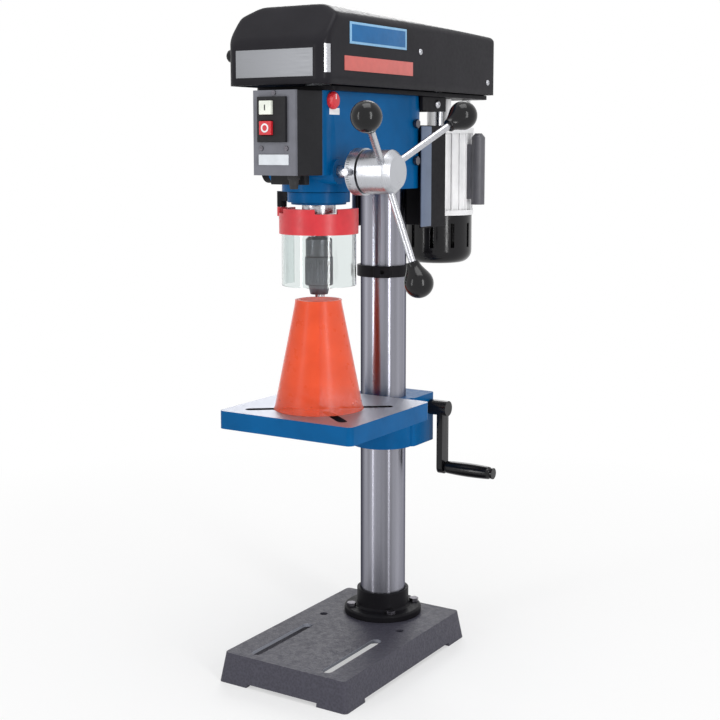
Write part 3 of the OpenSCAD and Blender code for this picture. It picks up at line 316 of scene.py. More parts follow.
def add_node(owner, kind, inputs, output, **settings):
    """One output of a new node in a material or world. Inputs are linked to other outputs or set to values."""
    tree = owner.node_tree
    added = tree.nodes.new("ShaderNode" + kind)
    for name, value in settings.items():
        setattr(added, name, value)
    for socket, value in inputs.items():
        if isinstance(value, bpy.types.NodeSocket):
            tree.links.new(value, added.inputs[socket])
        else:
            added.inputs[socket].default_value = value
    return added.outputs[output]


def coordinates(material):
    """The piece's own coordinates in metres."""
    return add_node(material, "TexCoord", {}, "Object")


def grain(material, scale, detail=3.0, stretch=EVEN):
    """Noise on the piece's own coordinates, with scale in features per metre."""
    place = add_node(material, "Mapping", {"Vector": coordinates(material), "Scale": stretch}, "Vector")
    return add_node(material, "TexNoise", {"Vector": place, "Scale": scale, "Detail": detail}, "Fac")


def dimples(material, scale):
    """Distance to the nearest of many scattered cells, with scale in cells per metre."""
    values = {"Vector": coordinates(material), "Scale": scale, "Smoothness": 0.6}
    return add_node(material, "TexVoronoi", values, "Distance", feature="SMOOTH_F1")


def spread(material, value, low, high, start=0.3, end=0.7):
    """A value from start to end carried over to low to high. Noise lies mostly between 0.3 and 0.7."""
    values = {"Value": value, "From Min": start, "From Max": end, "To Min": low, "To Max": high}
    return add_node(material, "MapRange", values, "Result")


def shade(base, factor):
    """A colour made darker or lighter by a factor, up to white."""
    return tuple(min(1.0, c * factor) for c in base[:3])


def tint(material, base, value, dark, light, start=0.3, end=0.7):
    """Base colour from a dark to a light shade as a value goes from start to end."""
    values = {"A": (*shade(base, dark), 1.0), "B": (*shade(base, light), 1.0),
              "Factor": spread(material, value, 0.0, 1.0, start, end)}
    drive(material, "Base Color", add_node(material, "Mix", values, "Result", data_type="RGBA"))


def rub(material, value, low, high):
    """Roughness from low to high by a noise."""
    drive(material, "Roughness", spread(material, value, low, high))


def relief(material, value, depth, strength=1.0):
    """A bumped surface: depth is how deep the value's whole range is, in metres."""
    values = {"Height": value, "Distance": depth, "Strength": strength}
    drive(material, "Normal", add_node(material, "Bump", values, "Normal"))


def enamel(name, base, roughness, peel, gloss):
    """Stoved enamel: faint patches and an orange-peel surface, with a gloss from 0 to 1."""
    patch_scale, rub_scale, peel_scale = 24.0, 160.0, 620.0
    material = finish(name, base, roughness, sockets={
        "Specular IOR Level": gloss, "Coat Weight": gloss * 0.4, "Coat Roughness": 0.16})
    tint(material, base, grain(material, patch_scale, 4.0), 0.9, 1.12)
    rub(material, grain(material, rub_scale), roughness - 0.06, roughness + 0.08)
    relief(material, grain(material, peel_scale, 2.0), peel)
    return material


def hammered(name, base):
    """Hammered paint on rough iron: shallow round dents with paler crests."""
    dent_scale, dent_depth, rub_scale = 340.0, 0.6 * MM, 140.0
    material = finish(name, base, 0.5, sockets={"Specular IOR Level": 0.22})
    dents = dimples(material, dent_scale)
    tint(material, base, dents, 0.84, 1.2, 0.1, 0.75)
    rub(material, grain(material, rub_scale), 0.4, 0.58)
    relief(material, dents, dent_depth, 0.55)
    return material


def drawn_metal(name, base, roughness, stretch, scale, spots=0.1):
    """Metal with fine tool marks: noise drawn out across the stretched axis, in gloss, tint and relief."""
    mark_depth = 0.04 * MM
    material = finish(name, base, roughness, 1.0)
    lines = grain(material, scale, 4.0, stretch)
    tint(material, base, lines, 1.0 - spots, 1.0 + spots * 0.6)
    rub(material, lines, roughness - 0.07, roughness + 0.1)
    relief(material, lines, mark_depth, 0.35)
    return material


def polished_tube(name, base, axis):
    """Centreless-ground upright tube: broad lengthwise bands of tone, partly uneven polish and partly painted
    reflection streaks, hair-fine scratches round its axis, a gloss that these scratches draw out along its
    length, and edges that reflect less."""
    band_scale, scratch_scale = 46.0, 2600.0
    material = finish(name, base, 0.28, 1.0, {
        "Anisotropic": 0.95, "Anisotropic Rotation": 0.25, "Specular Tint": (0.2, 0.2, 0.22, 1.0)})
    # Painted reflection: the bands' strong light and dark tones stand in partly for lamp streaks and dark edges
    # reflected in the column
    tint(material, base, grain(material, band_scale, 2.0, (1.0, 1.0, 0.01)), 0.55, 1.45, 0.34, 0.66)
    rub(material, grain(material, scratch_scale, 3.0, (0.02, 0.02, 1.0)), 0.23, 0.27)
    place = coordinates(material)
    outward = add_node(material, "VectorMath", {0: place, 1: axis}, "Vector", operation="SUBTRACT")
    around = add_node(material, "VectorMath", {0: UP, 1: outward}, "Vector", operation="CROSS_PRODUCT")
    drive(material, "Tangent", around)
    return material


def moulded(name, base, roughness, texture, sockets=None):
    """Moulded plastic: slight clouding and a fine spark-eroded texture of a depth in metres."""
    cloud_scale, rub_scale, texture_scale = 60.0, 220.0, 1500.0
    material = finish(name, base, roughness, sockets=sockets)
    tint(material, base, grain(material, cloud_scale), 0.92, 1.08)
    rub(material, grain(material, rub_scale), roughness - 0.05, roughness + 0.07)
    relief(material, grain(material, texture_scale, 2.0), texture, 0.6)
    return material


def clear(name, base, roughness):
    """Clear plastic with a faint rubbed haze."""
    haze_scale = 90.0
    material = finish(name, base, roughness, sockets={"Transmission Weight": 1.0, "IOR": 1.45})
    rub(material, grain(material, haze_scale), roughness, roughness + 0.06)
    return material


def tinted(name, base, low, high):
    """Tinted sheet that covers most of what lies behind it, less at its foot, with cloudy colour and gloss."""
    cloud_scale, rub_scale, foot_cover, full_cover = 40.0, 90.0, 0.42, 0.64
    material = finish(name, base, 0.28, sockets={"IOR": 1.45, "Specular IOR Level": 0.3})
    tint(material, base, grain(material, cloud_scale), 0.93, 1.07)
    rub(material, grain(material, rub_scale), 0.26, 0.34)
    height = add_node(material, "SeparateXYZ", {"Vector": coordinates(material)}, "Z")
    drive(material, "Alpha", spread(material, height, foot_cover, full_cover, low, high))
    return material


def measure(node):
    """Lowest corner, middle and size of a node's box."""
    low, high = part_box(node)
    return low, (low + high) / 2, high - low


# Depths of a surface's texture
POLISHED = 0.01 * MM
GLOSSY = 0.02 * MM
SATIN = 0.05 * MM
COARSE = 0.1 * MM

# Tool marks: every axis of a piece that is shrunk here draws the marks out along it
ALONG_X = (0.03, 1.0, 1.0)
ROUND_X = (1.0, 0.02, 0.02)
ROUND_Z = (0.25, 0.25, 1.0)
ROUND_Z_FINE = (0.2, 0.2, 1.0)

HOOD_CLEAR_FOOT = 40 * MM


def recipes():
    """How each finish is made: its maker, and what the maker takes after the finish's name."""
    c = colours()
    hood_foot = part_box("chip_guard")[0].z
    matte, soft, glossy = ({"Specular IOR Level": level} for level in (0.2, 0.25, 0.3))
    return {
        "blue_enamel": (enamel, c.enamel, 0.34, 0.06 * MM, 0.07),
        "black_enamel": (enamel, shade(c.cover, 0.6), 0.42, 0.08 * MM, 0.05),
        "cover_enamel": (enamel, c.cover, 0.36, SATIN, 0.06),
        "white_enamel": (enamel, c.motor, 0.4, SATIN, 0.3),
        # Painted sheen: a bluish grey for lips of the black cradle, standing in for light on its face
        "grey_enamel": (enamel, srgb(98, 110, 132), 0.4, 0.06 * MM, 0.2),
        "bell_enamel": (enamel, shade(c.cover, 0.35), 0.13, POLISHED, 0.22),
        "hammered_grey": (hammered, c.base),
        "column_steel": (polished_tube, c.column, tuple(measure("column")[1])),
        "bright_steel": (drawn_metal, c.steel, 0.26, ROUND_Z, 700.0),
        "ground_iron": (drawn_metal, c.ground, 0.42, ALONG_X, 1500.0),
        "blackened_steel": (drawn_metal, c.dark_steel, 0.34, ROUND_Z_FINE, 900.0, 0.2),
        "turned_alloy": (drawn_metal, c.alloy, 0.3, ROUND_X, 2200.0, 0.05),
        "cast_alloy": (drawn_metal, c.alloy, 0.42, EVEN, 420.0, 0.14),
        "plate_alloy": (drawn_metal, shade(c.alloy, 0.54), 0.5, ALONG_X, 1100.0),
        "gloss_plastic": (moulded, c.plastic, 0.16, POLISHED, glossy),
        "matte_plastic": (moulded, shade(c.plastic, 2.6), 0.5, SATIN, matte),
        "can_plastic": (moulded, srgb(84, 84, 90), 0.45, SATIN),
        "fascia_plastic": (moulded, c.fascia, 0.46, SATIN, soft),
        "red_plastic": (moulded, c.red, 0.34, GLOSSY),
        "start_plastic": (moulded, c.start, 0.3, GLOSSY),
        "stop_plastic": (moulded, c.red, 0.3, GLOSSY),
        "white_print": (moulded, srgb(236, 238, 240), 0.45, SATIN),
        "black_print": (moulded, srgb(24, 25, 28), 0.45, SATIN),
        "red_print": (moulded, srgb(196, 98, 92), 0.42, SATIN),
        "blue_print": (moulded, srgb(34, 98, 152), 0.4, SATIN, matte),
        "pale_print": (moulded, srgb(128, 176, 212), 0.4, SATIN),
        "screen": (moulded, srgb(218, 223, 229), 0.12, POLISHED, {"Coat Weight": 0.4}),
        "rubber": (moulded, srgb(34, 34, 36), 0.7, COARSE),
        "tinted_plastic": (tinted, c.hood, hood_foot, hood_foot + HOOD_CLEAR_FOOT),
        "clear_plastic": (clear, c.shield, 0.03),
    }


FINISHES = {}


def made(name):
    """The finish of that name, made once."""
    if name not in FINISHES:
        maker, *values = recipes()[name]
        FINISHES[name] = maker(name, *values)
    return FINISHES[name]


def soften(name, *nodes, share=1.0, segments=3):
    """Softened copies of frame nodes in one finish, with a share of the sheet edge's radius."""
    return [softened(item, sizes().sheet_edge * share, name, segments) for item in nodes]


def soften_castings(name, *nodes):
    """Softened copies of frame nodes in one finish, with the casting edge's radius."""
    return [softened(item, sizes().casting_edge, name, 3) for item in nodes]


def face_vectors(mesh, name):
    """The centre or normal of every face."""
    values = np.empty(len(mesh.polygons) * 3)
    mesh.polygons.foreach_get(name, values)
    return values.reshape(-1, 3)


def second_finish(obj, name, chosen):
    """Gives the chosen faces another finish, where chosen takes arrays of face centres and normals."""
    mesh = obj.data
    mesh.materials.append(made(name))
    slots = np.zeros(len(mesh.polygons), np.int32)
    mesh.polygons.foreach_get("material_index", slots)
    slots[chosen(face_vectors(mesh, "center"), face_vectors(mesh, "normal"))] = len(mesh.materials) - 1
    mesh.polygons.foreach_set("material_index", slots)
    mesh.update()


# Camera fitted to the photograph: turns in degrees, focal length in millimetres
CAMERA_PLACE = (0.9631, -1.5356, 0.7159)
CAMERA_TURN = (83.0, 0.0, 32.14)
CAMERA_FOCUS = 65.8
CAMERA_SHIFT = -0.0733

# Place, width, height and watts of each lamp; all face the middle of the press
LAMP_TARGET = (0.0, 0.0, 0.5)
LAMPS = {
    "key": ((2.3, -1.2, 1.0), 0.32, 1.9, 25.0),
    "top": ((0.3, -0.3, 3.0), 1.6, 1.6, 30.0),
    "left_strip": ((-0.9, -2.3, 0.9), 0.26, 1.9, 12.0),
    "back": ((-1.4, 2.4, 2.2), 1.4, 1.4, 24.0),
}
WORLD_LIGHT = 0.46
WHITE = (1.0, 1.0, 1.0, 1.0)

# Floor: how far it lies under the bench, its reach, and where its paint gives way to white
FLOOR_DEPTH = 0.4 * MM
FLOOR_REACH = 12.0
FLOOR_FADE = (0.25, 1.3)


def studio_world(scene):
    """White where the camera, gloss or clear plastic sees it, and a softer white as light."""
    world = bpy.data.worlds.new("studio")
    world.use_nodes = True
    scene.world = world
    nodes = world.node_tree.nodes
    soft, white = nodes["Background"], add_node(world, "Background", {"Color": WHITE}, "Background")
    soft.inputs["Color"].default_value = WHITE
    soft.inputs["Strength"].default_value = WORLD_LIGHT
    seen = add_node(world, "LightPath", {}, "Is Camera Ray")
    for kind in ("Is Glossy Ray", "Is Transmission Ray"):
        ray = add_node(world, "LightPath", {}, kind)
        seen = add_node(world, "Math", {0: seen, 1: ray}, "Value", operation="MAXIMUM")
    mix = add_node(world, "MixShader", {"Fac": seen, 1: soft.outputs["Background"], 2: white}, "Shader")
    world.node_tree.links.new(mix, nodes["World Output"].inputs["Surface"])


def studio_floor():
    """Rings about the press that widen outwards; the pale paint gives way to plain white further out."""
    radius = np.concatenate([[0.0], np.geomspace(0.2, FLOOR_REACH, 16)])
    a = np.linspace(0, 2 * np.pi, 96, endpoint=False)
    floor = surface("floor", about((0.0, 0.0), radius[:, None], a, -FLOOR_DEPTH), cap=False)
    material = finish("floor", colours().floor, 0.6, sockets={"Specular IOR Level": 0.2})
    tree = material.node_tree
    reach = add_node(material, "VectorMath", {0: coordinates(material)}, "Value", operation="LENGTH")
    share = spread(material, reach, 0.5, 1.0, *FLOOR_FADE)
    pale, white = tree.nodes["Principled BSDF"], add_node(material, "Emission", {}, "Emission")
    mix = add_node(material, "MixShader", {"Fac": share, 1: pale.outputs["BSDF"], 2: white}, "Shader")
    tree.links.new(mix, tree.nodes["Material Output"].inputs["Surface"])
    floor.data.materials.append(material)


class PRESS_OT_stage(bpy.types.Operator):
    """Camera, pale floor and soft studio light"""

    bl_idname = "press.stage"
    bl_label = "Stage"

    def execute(self, context):
        scene = context.scene
        scene.view_settings.view_transform = "Standard"
        lens = bpy.data.cameras.new("camera")
        lens.lens, lens.shift_y = CAMERA_FOCUS, CAMERA_SHIFT
        scene.camera = placed("camera", lens)
        scene.camera.location = CAMERA_PLACE
        scene.camera.rotation_euler = [math.radians(turn) for turn in CAMERA_TURN]
        for name, (place, width, height, watts) in LAMPS.items():
            light = bpy.data.lights.new(name, "AREA")
            light.shape, light.size, light.size_y, light.energy = "RECTANGLE", width, height, watts
            lamp = placed(name, light)
            lamp.location = place
            lamp.rotation_euler = (Vector(LAMP_TARGET) - Vector(place)).to_track_quat("-Z", "Y").to_euler()
        studio_world(scene)
        studio_floor()
        return {"FINISHED"}


class PRESS_OT_base(bpy.types.Operator):
    """Cast base with machined slots, and the column's flange"""

    bl_idname = "press.base"
    bl_label = "Base"

    def execute(self, context):
        base, = soften_castings("hammered_grey", "base")
        low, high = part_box("base")
        side, front, back, floor = high.x * 0.66, low.y + 20 * MM, -45 * MM, high.z - 22 * MM

        def machined(centre, normal):
            """Upright faces of the clamping slots."""
            x, y, z = centre.T
            return (np.abs(normal[:, 2]) < 0.2) & (np.abs(x) < side) & (y < back) & (y > front) & (z > floor)

        second_finish(base, "ground_iron", machined)
        soften("black_enamel", "column_flange")
        soften("blackened_steel", "flange_bolts", share=0.5)
        return {"FINISHED"}


class PRESS_OT_column(bpy.types.Operator):
    """Polished column tube, rack and rack ring"""

    bl_idname = "press.column"
    bl_label = "Column"

    def execute(self, context):
        low, middle, size = measure("column")
        radius, tall, chamfer, wall = size.x / 2, size.z, 1.0 * MM, 3.0 * MM
        profile = [(radius - wall, 0.0), (radius, 0.0), (radius, tall - chamfer), (radius - chamfer, tall),
                   (radius - wall, tall)]
        tube = turned("column_tube", profile, (0.0, middle.y, low.z), (0, 0, 1), 128, closed=True)
        stand_for(tube, "column_steel", "column")
        soften("black_enamel", "rack_ring")
        soften("bright_steel", "table_rack", segments=1, share=0.15)
        return {"FINISHED"}


class PRESS_OT_head(bpy.types.Operator):
    """Cast head, its screws and spring cap, and the tray under the belt cover"""

    bl_idname = "press.head"
    bl_label = "Head"

    def execute(self, context):
        soften_castings("blue_enamel", "head_casting")
        soften("blackened_steel", "head_clamp_screws", share=0.5)
        soften("black_enamel", "quill_spring_cap", share=1.5)
        soften("black_enamel", "belt_tray")
        paint("bright_steel", "quill_return_spring", "pulley_bearings")
        return {"FINISHED"}


# Belt cover: front slope and skirt, side bevels, roof and corners, and how far its hinge leaves stand out
COVER_SLOPE_RUN = 40 * MM
COVER_SKIRT = 51 * MM
COVER_SIDE_DROP = 14 * MM
COVER_SIDE_RUN = 27 * MM
COVER_ROOF_DROP = 15 * MM
COVER_CORNER = 16 * MM
COVER_REAR_CORNER = 6 * MM
HINGE_PROUD = 11 * MM
COVER_SMOOTH_ANGLE = 60.0
CORNER_STEPS = 14


def rounded_loop(half, front, back, fore, rear, along, across):
    """A rectangle as one loop, with quarter circles of one radius in front and of another behind, joined by
    evenly spaced sides."""
    right = np.linspace((half, front + fore), (half, back - rear), along)[1:-1]
    behind = np.linspace((half - rear, back), (rear - half, back), across)[1:-1]
    ahead = np.linspace((fore - half, front), (half - fore, front), across)[1:-1]
    return np.concatenate([
        right, arc((half - rear, back - rear), rear, 0, 90, CORNER_STEPS), behind,
        arc((rear - half, back - rear), rear, 90, 180, CORNER_STEPS), right[::-1] * (-1, 1),
        arc((fore - half, front + fore), fore, 180, 270, CORNER_STEPS), ahead,
        arc((half - fore, front + fore), fore, 270, 360, CORNER_STEPS)])


def cover_shell(name):
    """Outer skin of the belt cover. In plan it is a rounded rectangle drawn in towards its middle line; its
    height is the soft lower envelope of the front slope, the falling roof and the two side bevels, less a
    quarter circle along the rim."""
    low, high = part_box("belt_cover")
    half, front, back = high.x, low.y, high.y - HINGE_PROUD
    loop = rounded_loop(half, front, back, COVER_CORNER, COVER_REAR_CORNER, 120, 40)
    spine = np.stack([np.zeros(len(loop)), np.clip(loop[:, 1], front + half, back - half)], 1)
    crease = sizes().cover_crease
    rim = np.linspace(0.0, 1.0, 9) ** 1.6 * crease
    inset = np.concatenate([rim, np.linspace(crease, half, 26)[1:]])
    share = 1.0 - np.minimum(inset / half, 1.0)
    plan = spine + (loop - spine) * share[:, None, None]
    x, y = np.abs(plan[..., 0]), plan[..., 1]
    slope = low.z + COVER_SKIRT + (y - front) * (high.z - low.z - COVER_SKIRT) / COVER_SLOPE_RUN
    roof = high.z - (y - front - COVER_SLOPE_RUN) * COVER_ROOF_DROP / (back - front - COVER_SLOPE_RUN)
    side = high.z - COVER_SIDE_DROP + (half - x) * COVER_SIDE_DROP / COVER_SIDE_RUN
    soft = crease / 4
    top = -soft * np.log(sum(np.exp(-(h - high.z) / soft) for h in (slope, roof, side))) + high.z
    short = np.clip(crease - inset, 0.0, crease)[:, None]
    top -= crease - np.sqrt(crease ** 2 - short ** 2)
    wall = np.linspace(0.0, 1.0, 7)[:-1, None] * (top[0] - low.z) + low.z
    skirt = np.concatenate([np.broadcast_to(loop, (len(wall), *loop.shape)), wall[..., None]], -1)
    points = np.concatenate([skirt, np.concatenate([plan, top[..., None]], -1)])
    shell = surface(name, points, cap=False)
    if face_vectors(shell.data, "normal")[:, 2].sum() < 0:
        shell.data.flip_normals()
    smooth(shell, COVER_SMOOTH_ANGLE)
    walls = shell.modifiers.new("wall", "SOLIDIFY")
    walls.thickness = sizes().cover_wall
    return shell


def square_ring(inner, outer, low, high):
    """Closed profile of a plain ring."""
    return [(inner, low), (outer, low), (outer, high), (inner, high)]


def screw(name, place, axis, radius, height):
    """A pan-head screw: a domed head with a shallow round dish in its middle."""
    t = np.linspace(0, np.pi / 2, 8)
    profile = np.stack([radius * np.cos(t), height * np.sin(t)], 1)
    profile[-1, 0] = radius * 0.35
    dish = [(radius * 0.3, height * 0.55), (radius * 0.02, height * 0.5)]
    return turned(name, np.concatenate([[(radius, -height * 0.2)], profile, dish]), place, axis, 40)


def curved_plate(name, centre, radii, turn, rise):
    """A plate bent about an upright axis: the outline between two radii and two angles, carried straight up."""
    inner, outer = radii
    loop = np.concatenate([arc(centre, outer, *turn, 24), arc(centre, inner, *turn[::-1], 24)])
    return surface(name, np.stack([np.insert(loop, 2, z, axis=1) for z in rise]))


# Bare front plate, and how deep every plate is bedded in the cover
FRONT_PLATE_HALF = 58 * MM
FRONT_PLATE_RISE = (9 * MM, 43 * MM)
PLATE_BED = 0.6 * MM
PLATE_EDGE = 0.5 * MM

# Bare plates on the cover's right side: spans in Y and Z, share of the badge rise, edge radius, finish and
# material slot, with lengths in millimetres
SIDE_PLATES = {
    "side_plate_edge": ((-146, -7), (841, 868), 1.0, 0.5, "pale_print", "blue_paint"),
    "side_plate": ((-142, -11), (844, 865), 1.3, 0.3, "blue_print", "blue_paint"),
    "side_strip": ((-158, 10), (808, 826), 0.8, 0.3, "red_print", "red_plastic"),
}
# Painted highlight on the cover's front corner: the bright strip's turn in degrees about the corner, and its
# rise
HIGHLIGHT_TURN = (-42, -12)
HIGHLIGHT_RISE = (804 * MM, 838 * MM)
COVER_SCREWS = ((31 * MM, 841 * MM), (232 * MM, 808 * MM))

# Hinge leaves: their middles in X, half width, tube round the pin and plate
LEAF_MIDDLES = (-29 * MM, 29 * MM)
LEAF_HALF = 6 * MM
LEAF_BORE, LEAF_OUTSIDE = 2.3 * MM, 4.5 * MM
LEAF_PLATE_HALF = 2.5 * MM


def cover_plates(side, front, foot):
    """Bare plates on the front and the right side, and a painted highlight round the corner between them: a
    bright steel strip where a lamp's glint falls.
    """
    rise = sizes().badge_rise
    plate_low, plate_high = (foot + z for z in FRONT_PLATE_RISE)
    plate = rounded_box("front_plate", (-FRONT_PLATE_HALF, front - rise, plate_low),
                        (FRONT_PLATE_HALF, front + PLATE_BED, plate_high), PLATE_EDGE)
    dress(plate, "plate_alloy", "lid", "alloy")
    for name, (y, z, share, edge, print_name, slot) in SIDE_PLATES.items():
        plate = rounded_box(name, (side - PLATE_BED, y[0] * MM, z[0] * MM),
                            (side + rise * share, y[1] * MM, z[1] * MM), edge * MM)
        dress(plate, print_name, "lid", slot)
    # Painted highlight: a bright steel strip round the corner stands in for a lamp's glint there
    centre = (side - COVER_CORNER, front + COVER_CORNER)
    radii = (COVER_CORNER - PLATE_BED, COVER_CORNER + rise)
    highlight_strip = curved_plate("corner_painted_highlight", centre, radii, HIGHLIGHT_TURN, HIGHLIGHT_RISE)
    dress(highlight_strip, "bright_steel", "lid", "alloy")


def cover_hinge(back):
    """Two leaves at the back, each a tube round the pin and a short plate to the cover."""
    pin = measure("cover_hinge_pin")[1]
    tube = square_ring(LEAF_BORE, LEAF_OUTSIDE, -LEAF_HALF, LEAF_HALF)
    leaves = []
    for x in LEAF_MIDDLES:
        leaves.append(turned("leaf", tube, (x, pin.y, pin.z), (1, 0, 0), 40, closed=True))
        leaves.append(rounded_box("leaf", (x - LEAF_HALF, back - 1 * MM, pin.z - LEAF_PLATE_HALF),
                                  (x + LEAF_HALF, pin.y - 2.6 * MM, pin.z + LEAF_PLATE_HALF), 0.8 * MM))
    dress(joined("cover_hinge_leaves", leaves), "black_enamel", "lid", "black_paint")
    paint("bright_steel", "cover_hinge_pin")


class PRESS_OT_cover(bpy.types.Operator):
    """Hinged belt cover with its bare plates, strip, painted corner highlight, screws and knob"""

    bl_idname = "press.cover"
    bl_label = "Belt cover"

    def execute(self, context):
        low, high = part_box("belt_cover")
        stand_for(cover_shell("belt_cover_shell"), "cover_enamel", "belt_cover")
        cover_hinge(high.y - HINGE_PROUD)
        soften("gloss_plastic", "cover_knob")
        cover_plates(high.x, low.y, low.z)
        screws = [screw("cover_screw", (high.x, y, z), (1, 0, 0), 4.2 * MM, 2.2 * MM) for y, z in COVER_SCREWS]
        dress(joined("cover_screws", screws), "bright_steel", "lid", "bright_steel")
        return {"FINISHED"}


# Folded lips in front of the motor's cradle, in a bluish grey that paints a sheen on its black: their share of
# its half width, and where they start and end
LIP_SHARE = 1.045
LIP_AHEAD, LIP_BEHIND = 6 * MM, 22 * MM
LIP_FOOT, LIP_TOP = 2 * MM, 743 * MM
CRADLE_BOLT = (115 * MM, 774 * MM)

# Bare plate on the back of the motor, bent round its axis
MOTOR_AXIS = (0.0, 220 * MM)
MOTOR_PLATE_RADII = (50.5 * MM, 53.2 * MM)
MOTOR_PLATE_TURN = (70, 110)
MOTOR_PLATE_RISE = (655 * MM, 705 * MM)


class PRESS_OT_motor(bpy.types.Operator):
    """Motor, its cradle, and the belt drive under the cover"""

    bl_idname = "press.motor"
    bl_label = "Motor and drive"

    def execute(self, context):
        soften("black_enamel", "motor_bracket")
        soften("bell_enamel", "motor_end_bell")
        soften("white_enamel", "motor_housing", "motor_standoffs")
        soften("can_plastic", "motor_capacitor")
        soften("cast_alloy", "motor_sheave", "spindle_sheave", share=0.5)
        paint("bright_steel", "motor_bearings", "motor_rotor")
        soften("rubber", "drive_belt", share=0.6)
        low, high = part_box("motor_bracket")
        inner, outer = high.x, high.x * LIP_SHARE
        front, back, foot = low.y - LIP_AHEAD, low.y + LIP_BEHIND, low.z + LIP_FOOT
        lips = [rounded_box("lip", (left, front, foot), (right, back, LIP_TOP), 1.2 * MM)
                for left, right in ((-outer, -inner), (inner, outer))]
        # Painted sheen: the lips belong to the black cradle, and their grey stands in for light on it
        dress(joined("bracket_lips", lips), "grey_enamel", "stand", "black_paint")
        bolts = [screw("bolt", (side * inner, *CRADLE_BOLT), (side, 0, 0), 6 * MM, 3.5 * MM)
                 for side in (-1, 1)]
        dress(joined("bracket_bolts", bolts), "bright_steel", "stand", "bright_steel")
        plate = curved_plate("motor_plate", MOTOR_AXIS, MOTOR_PLATE_RADII, MOTOR_PLATE_TURN, MOTOR_PLATE_RISE)
        dress(plate, "plate_alloy", "stand", "alloy")
        return {"FINISHED"}


# Bar on the start button and ring on the stop button
BAR_HALF, BAR_MARGIN = 0.9 * MM, 5 * MM
RING_INNER, RING_OUTER, RING_HEIGHT = 3.6 * MM, 5.6 * MM, 0.7 * MM

# Bare plate below the speed knob, and the knob's pointer
SPEED_PLATE = ((47.5 * MM, -151 * MM, 754.5 * MM), (48.3 * MM, -128 * MM, 763 * MM))
POINTER_HALF, POINTER_REACH = 0.8 * MM, (1.5 * MM, 8 * MM)


def switch_marks():
    """Raised marks: a bar on the start button, a ring on the stop button, a bare plate below the speed knob
    and a pointer on the knob."""
    low, middle, size = measure("start_button")
    reach = size.z / 2 - BAR_MARGIN
    bar = rounded_box("start_mark", (middle.x - BAR_HALF, low.y - 0.3 * MM, middle.z - reach),
                      (middle.x + BAR_HALF, low.y + 0.5 * MM, middle.z + reach), 0.25 * MM)
    dress(bar, "black_print", "start", "matte_black_plastic")
    low, middle, _ = measure("stop_button")
    place = (middle.x, low.y + 0.3 * MM, middle.z)
    profile = square_ring(RING_INNER, RING_OUTER, 0.0, RING_HEIGHT)
    ring = turned("stop_mark", profile, place, (0, -1, 0), 48, closed=True)
    dress(ring, "white_print", "stop", "grey_plastic")
    plate = rounded_box("speed_plate", *SPEED_PLATE, 0.15 * MM)
    dress(plate, "white_print", "stand", "grey_plastic")
    _, middle, size = measure("speed_knob")
    face = middle.x + size.x / 2
    start, end = (middle.z + reach for reach in POINTER_REACH)
    pointer = rounded_box("speed_pointer", (face - 0.5 * MM, middle.y - POINTER_HALF, start),
                          (face + 0.3 * MM, middle.y + POINTER_HALF, end), 0.25 * MM)
    dress(pointer, "white_print", "speed", "grey_plastic")


class PRESS_OT_switch(bpy.types.Operator):
    """Switch box with its fascia, buttons, display and speed knob"""

    bl_idname = "press.switch"
    bl_label = "Switch"

    def execute(self, context):
        soften_castings("matte_plastic", "switch_box")
        soften("fascia_plastic", "switch_fascia", share=1.4)
        soften("matte_plastic", "switch_bezel")
        soften("screen", "speed_display", share=0.6)
        soften("start_plastic", "start_button")
        soften("stop_plastic", "stop_button")
        soften("red_plastic", "speed_knob")
        paint("blackened_steel", "fascia_screws")
        soften("rubber", "cord_gland", share=0.6)
        switch_marks()
        return {"FINISHED"}


# Levers: where their axes meet, the knobs' distance from there, and the axes' lean and turns
LEVER_CENTRE = np.array([118.0, -134.0, 683.5]) * MM
LEVER_LENGTH = 144.2 * MM
LEVER_RAKE = math.radians(19.44)
LEVER_TURNS = np.radians([31.4, 151.4, 271.4])

# Pear knob: its ball and the angle that it runs past its middle, slope, neck, and radii and heights of the foot
KNOB_RADIUS = 18.5 * MM
KNOB_PAST = 0.39
KNOB_SLOPE = 0.41
KNOB_NECK = 27.5 * MM
KNOB_NECK_RADIUS = 8.4 * MM
KNOB_NECK_EDGE = 1 * MM
KNOB_FOOT = ((4.7 * MM, 0.0), (7.4 * MM, 0.0), (8.1 * MM, 0.3 * MM))

# Depth ring: its radius past the hub's, and its marks with their start, reach, bed and rise
RING_STEP = 2 * MM
MARK_COUNT = 60
MARK_START = 1.5 * MM
MARK_REACH, FIFTH_REACH, TENTH_REACH = 4 * MM, 6.5 * MM, 9 * MM
MARK_BED, MARK_RISE = 0.3 * MM, 0.12 * MM
BLOCK_FACES = np.array([[0, 1, 3, 2], [4, 6, 7, 5], [0, 4, 5, 1], [2, 3, 7, 6], [0, 2, 6, 4], [1, 5, 7, 3]])


def pear_knob(name, place, axis):
    """A pear-shaped knob: half a ball that runs on past its middle, and from there a cubic curve that keeps the
    ball's slope and narrows to a rounded neck."""
    ball = np.linspace(np.pi / 2 + KNOB_PAST, 0.02, 30)
    head = np.stack([KNOB_RADIUS * np.sin(ball), KNOB_RADIUS * np.cos(ball)], 1)
    t = np.linspace(0.0, 1.0, 22)[:-1]
    run = KNOB_NECK - KNOB_NECK_EDGE + head[0, 1]
    leave, arrive = 2 * t ** 3 - 3 * t ** 2 + 1, 3 * t ** 2 - 2 * t ** 3
    radius = KNOB_NECK_RADIUS * leave + head[0, 0] * arrive + KNOB_SLOPE * run * (t ** 3 - t ** 2)
    neck = np.stack([radius, KNOB_NECK_EDGE - KNOB_NECK + run * t], 1)
    foot = np.array(KNOB_FOOT) - (0.0, KNOB_NECK)
    return turned(name, np.concatenate([foot, neck, head]), place, axis, 64)


